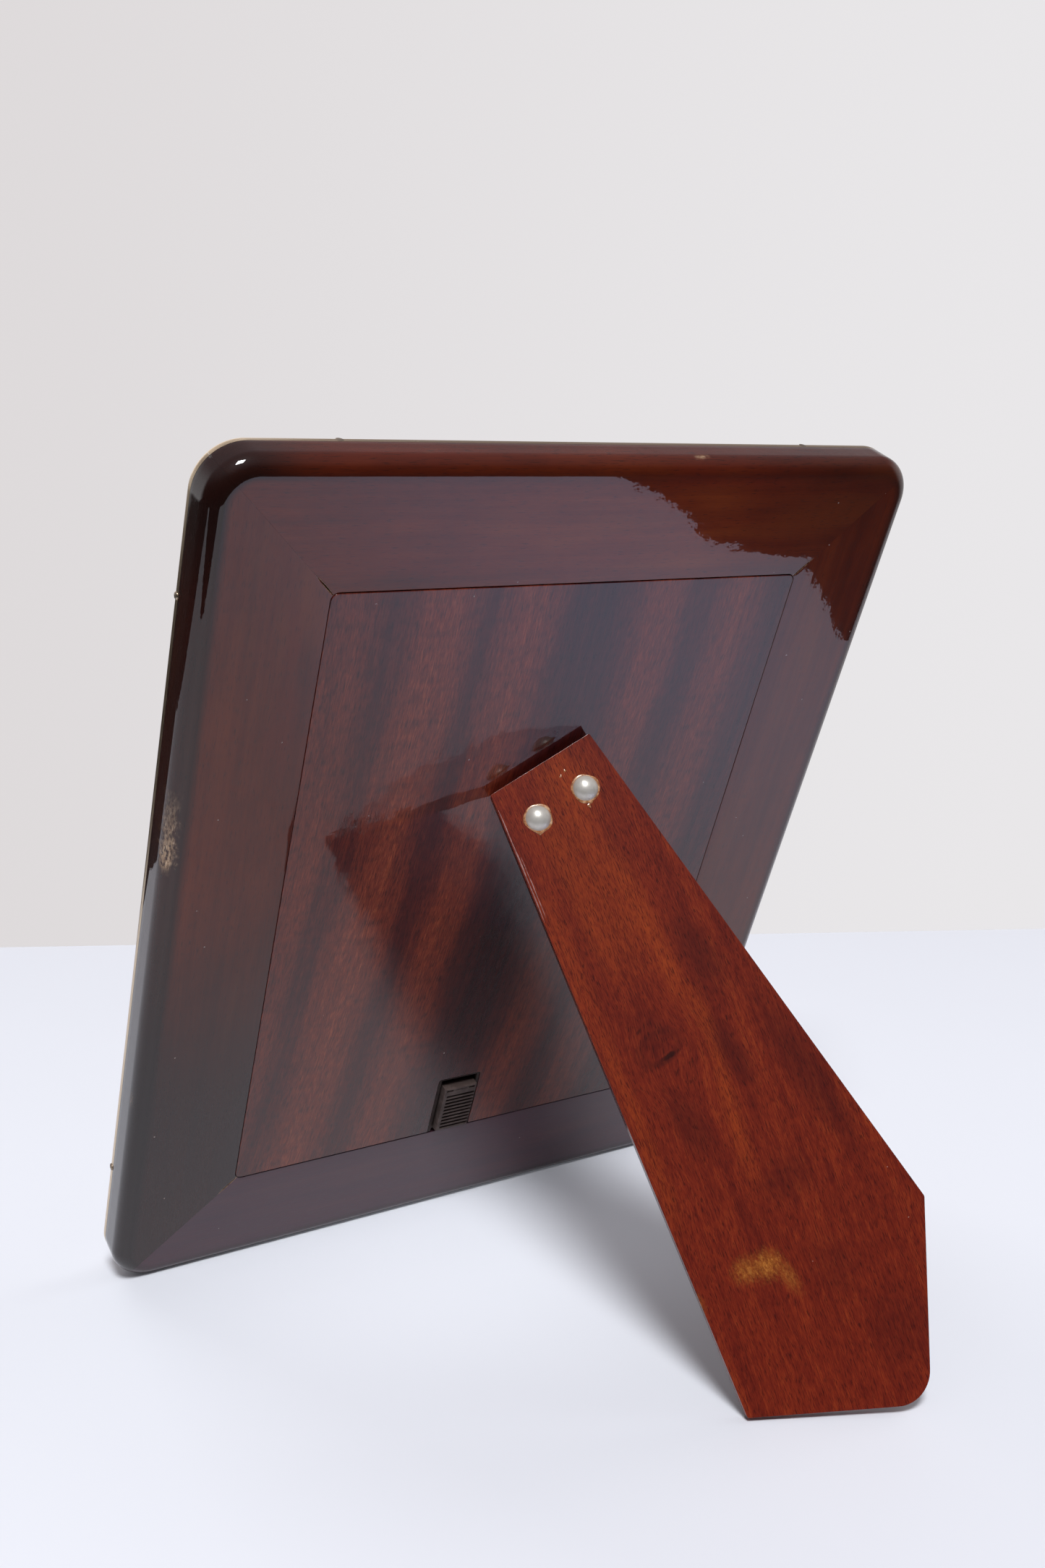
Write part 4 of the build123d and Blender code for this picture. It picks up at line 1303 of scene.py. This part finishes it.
def table_top():
    """The white table, and a pale surround that only the camera sees.

    A glow paints bluish light on the table and a shade paints shade on it under the strut.
    The camera sees neither of them directly. A bounce paints light on the table between the
    frame's foot and the strut, where the camera does see it.
    """
    s = Shader("white_table")
    p = s.coords()
    x, y = s.split(p)[:2]
    unseen = s.sub(1.0, s.camera_ray())
    base = s.mix(s.noise(p, 0.12), (0.790, 0.815, 0.873), (0.805, 0.830, 0.888))
    # Painted shade on the table under the strut, for reflections and bounced light only.
    shade = s.spot(x, y, SHADE_AT, SHADE_WIDE, SHADE_HIGH, 0.3, 1.0, SHADE)
    base = s.mix(s.mul(shade, unseen), base, (0.05, 0.05, 0.05))
    # Painted light: a bluish glow on the table, for reflections and bounced light only.
    glow = s.spot(x, y, GLOW_AT, GLOW_WIDE, GLOW_HIGH, 0.15, 1.0)
    glow = s.mul(s.mul(glow, GLOW), unseen)
    # Painted light: a glow on the table between the frame's foot and the strut.
    bounce = s.spot(x, y, BOUNCE_AT, BOUNCE_WIDE, BOUNCE_HIGH, 0.1, 1.0)
    bounce = s.mul(bounce, BOUNCE)
    tint = s.mix(s.math("GREATER_THAN", bounce, glow), (0.44, 0.50, 1.0), (0.84, 0.90, 1.0))
    s.surface(Base_Color=base, Roughness=0.5, Specular_IOR_Level=0.3, Emission_Color=tint,
              Emission_Strength=s.add(glow, bounce))
    flat_piece("stage_table", [wall_point(TABLE_LEFT), *TABLE_EDGE, wall_point(TABLE_RIGHT)], s.mat)
    far = 3.0
    outline = [wall_point(far), (far, far), (-far, far), wall_point(-far)]
    wide = flat_piece("stage_surround", outline, s.mat, -0.00001)
    wide.visible_glossy = wide.visible_diffuse = wide.visible_shadow = False
    wide.visible_transmission = False


def light_room():
    """A pale room: bright wall ahead of the camera, soft ceiling, darker room behind it."""
    world = bpy.data.worlds.new("room")
    bpy.context.scene.world = world
    world.use_nodes = True
    world.node_tree.nodes.clear()
    s = Nodes(world.node_tree)
    place = s.coords("Generated")
    height = s.split(place)[2]
    ahead = (CAMERA_AIM - CAMERA_AT).to_2d().normalized()
    towards = s.dot(place, (ahead.x, ahead.y, 0.0))
    across = s.dot(place, (ahead.y, -ahead.x, 0.0))
    below = s.remap(height, -0.02, -0.06)
    room = s.mix(below, s.mix(s.remap(height, 0.15, 0.75), ROOM_DARK, CEILING), BELOW)
    wall = s.mix(s.remap(height, 0.22, 0.60), WALL, CEILING)
    wall = s.mix(s.remap(across, -0.3, 0.1), s.mix(below, wall, BELOW), wall)
    room = s.mix(s.remap(towards, 0.0, 0.35), room, wall)
    backdrop = s.mix(s.remap(across, -0.45, 0.35), BACKDROP_LEFT, BACKDROP_RIGHT)
    shine = s.node("ShaderNodeBackground", s.mix(s.camera_ray(), room, backdrop))
    out = s.tree.nodes.new("ShaderNodeOutputWorld")
    s.put(out.inputs["Surface"], shine)


ROOM_DARK, CEILING, WALL = (0.030, 0.024, 0.022), (0.22, 0.195, 0.21), (0.60, 0.59, 0.60)
BELOW = (0.012, 0.009, 0.008)
BACKDROP_LEFT, BACKDROP_RIGHT = (0.725, 0.695, 0.700), (0.815, 0.800, 0.815)
KEY_TOWARDS, KEY_FAR, KEY_SIZE, KEY_POWER = Vector((0.250, 0.435, 0.866)), 3.0, 0.75, 84.0
# Lamps: (direction, distance, size, power), and for the front's if they show in reflections.
FILLS = ((Vector((-0.85, 0.15, 0.50)), 2.5, 1.6, 13.0),
         (Vector((0.15, -0.80, 0.58)), 3.0, 1.5, 15.0))
FRONT_CARDS = ((Vector((0.0, -0.86, 0.51)), 3.0, 2.4, 15.0, True),
               (Vector((-0.12, -0.97, 0.16)), 2.0, 1.2, 13.0, False))
LAMP_WHITE = (1.0, 0.99, 0.98)
FRONT_PIECES = ("pressed_front", "pin_heads")
FRONT_NODES = ("glass_pane", "picture_print")


def add_lamp(name, direction, far, size, power, colour):
    """A square soft light aimed at the object."""
    data = bpy.data.lights.new(name, "AREA")
    data.size, data.energy, data.color = size, power, colour
    obj = bpy.data.objects.new(name, data)
    direction = direction.normalized()
    obj.location = Vector((0, 0, 0.12)) + direction * far
    obj.rotation_euler = direction.to_track_quat("Z", "Y").to_euler()
    bpy.context.scene.collection.objects.link(obj)
    return obj


def light_front():
    """Two soft lights that fall only on the metal front and the picture."""
    lit = bpy.data.collections.new("front_pieces")
    pieces = [bpy.data.objects[name] for name in FRONT_PIECES]
    for obj in pieces + [frame["nodes"][name] for name in FRONT_NODES]:
        lit.objects.link(obj)
    for number, (direction, far, size, power, shiny) in enumerate(FRONT_CARDS):
        lamp = add_lamp("front_%d" % number, direction, far, size, power, LAMP_WHITE)
        lamp.visible_glossy, lamp.visible_camera = shiny, False
        lamp.light_linking.receiver_collection = lit


def add_camera():
    """The camera, at the angle from which the object is looked at."""
    data = bpy.data.cameras.new("camera")
    data.sensor_width, data.lens = 36.0, LENS
    data.clip_start, data.clip_end = 0.01, 20.0
    obj = bpy.data.objects.new("camera", data)
    obj.location = CAMERA_AT
    look = (CAMERA_AIM - CAMERA_AT).to_track_quat("-Z", "Y").to_matrix().to_4x4()
    obj.rotation_euler = (look @ Matrix.Rotation(math.radians(CAMERA_ROLL), 4, "Z")).to_euler()
    bpy.context.scene.collection.objects.link(obj)
    bpy.context.scene.camera = obj


table_top()
light_room()
add_lamp("key", KEY_TOWARDS, KEY_FAR, KEY_SIZE, KEY_POWER, (0.97, 0.98, 1.0))
for number, (direction, far, size, power) in enumerate(FILLS):
    lamp = add_lamp("fill_%d" % number, direction, far, size, power, LAMP_WHITE)
    lamp.visible_glossy = lamp.visible_camera = False
light_front()
add_camera()
view_settings = bpy.context.scene.view_settings
view_settings.view_transform = "Standard"
view_settings.look = "None"
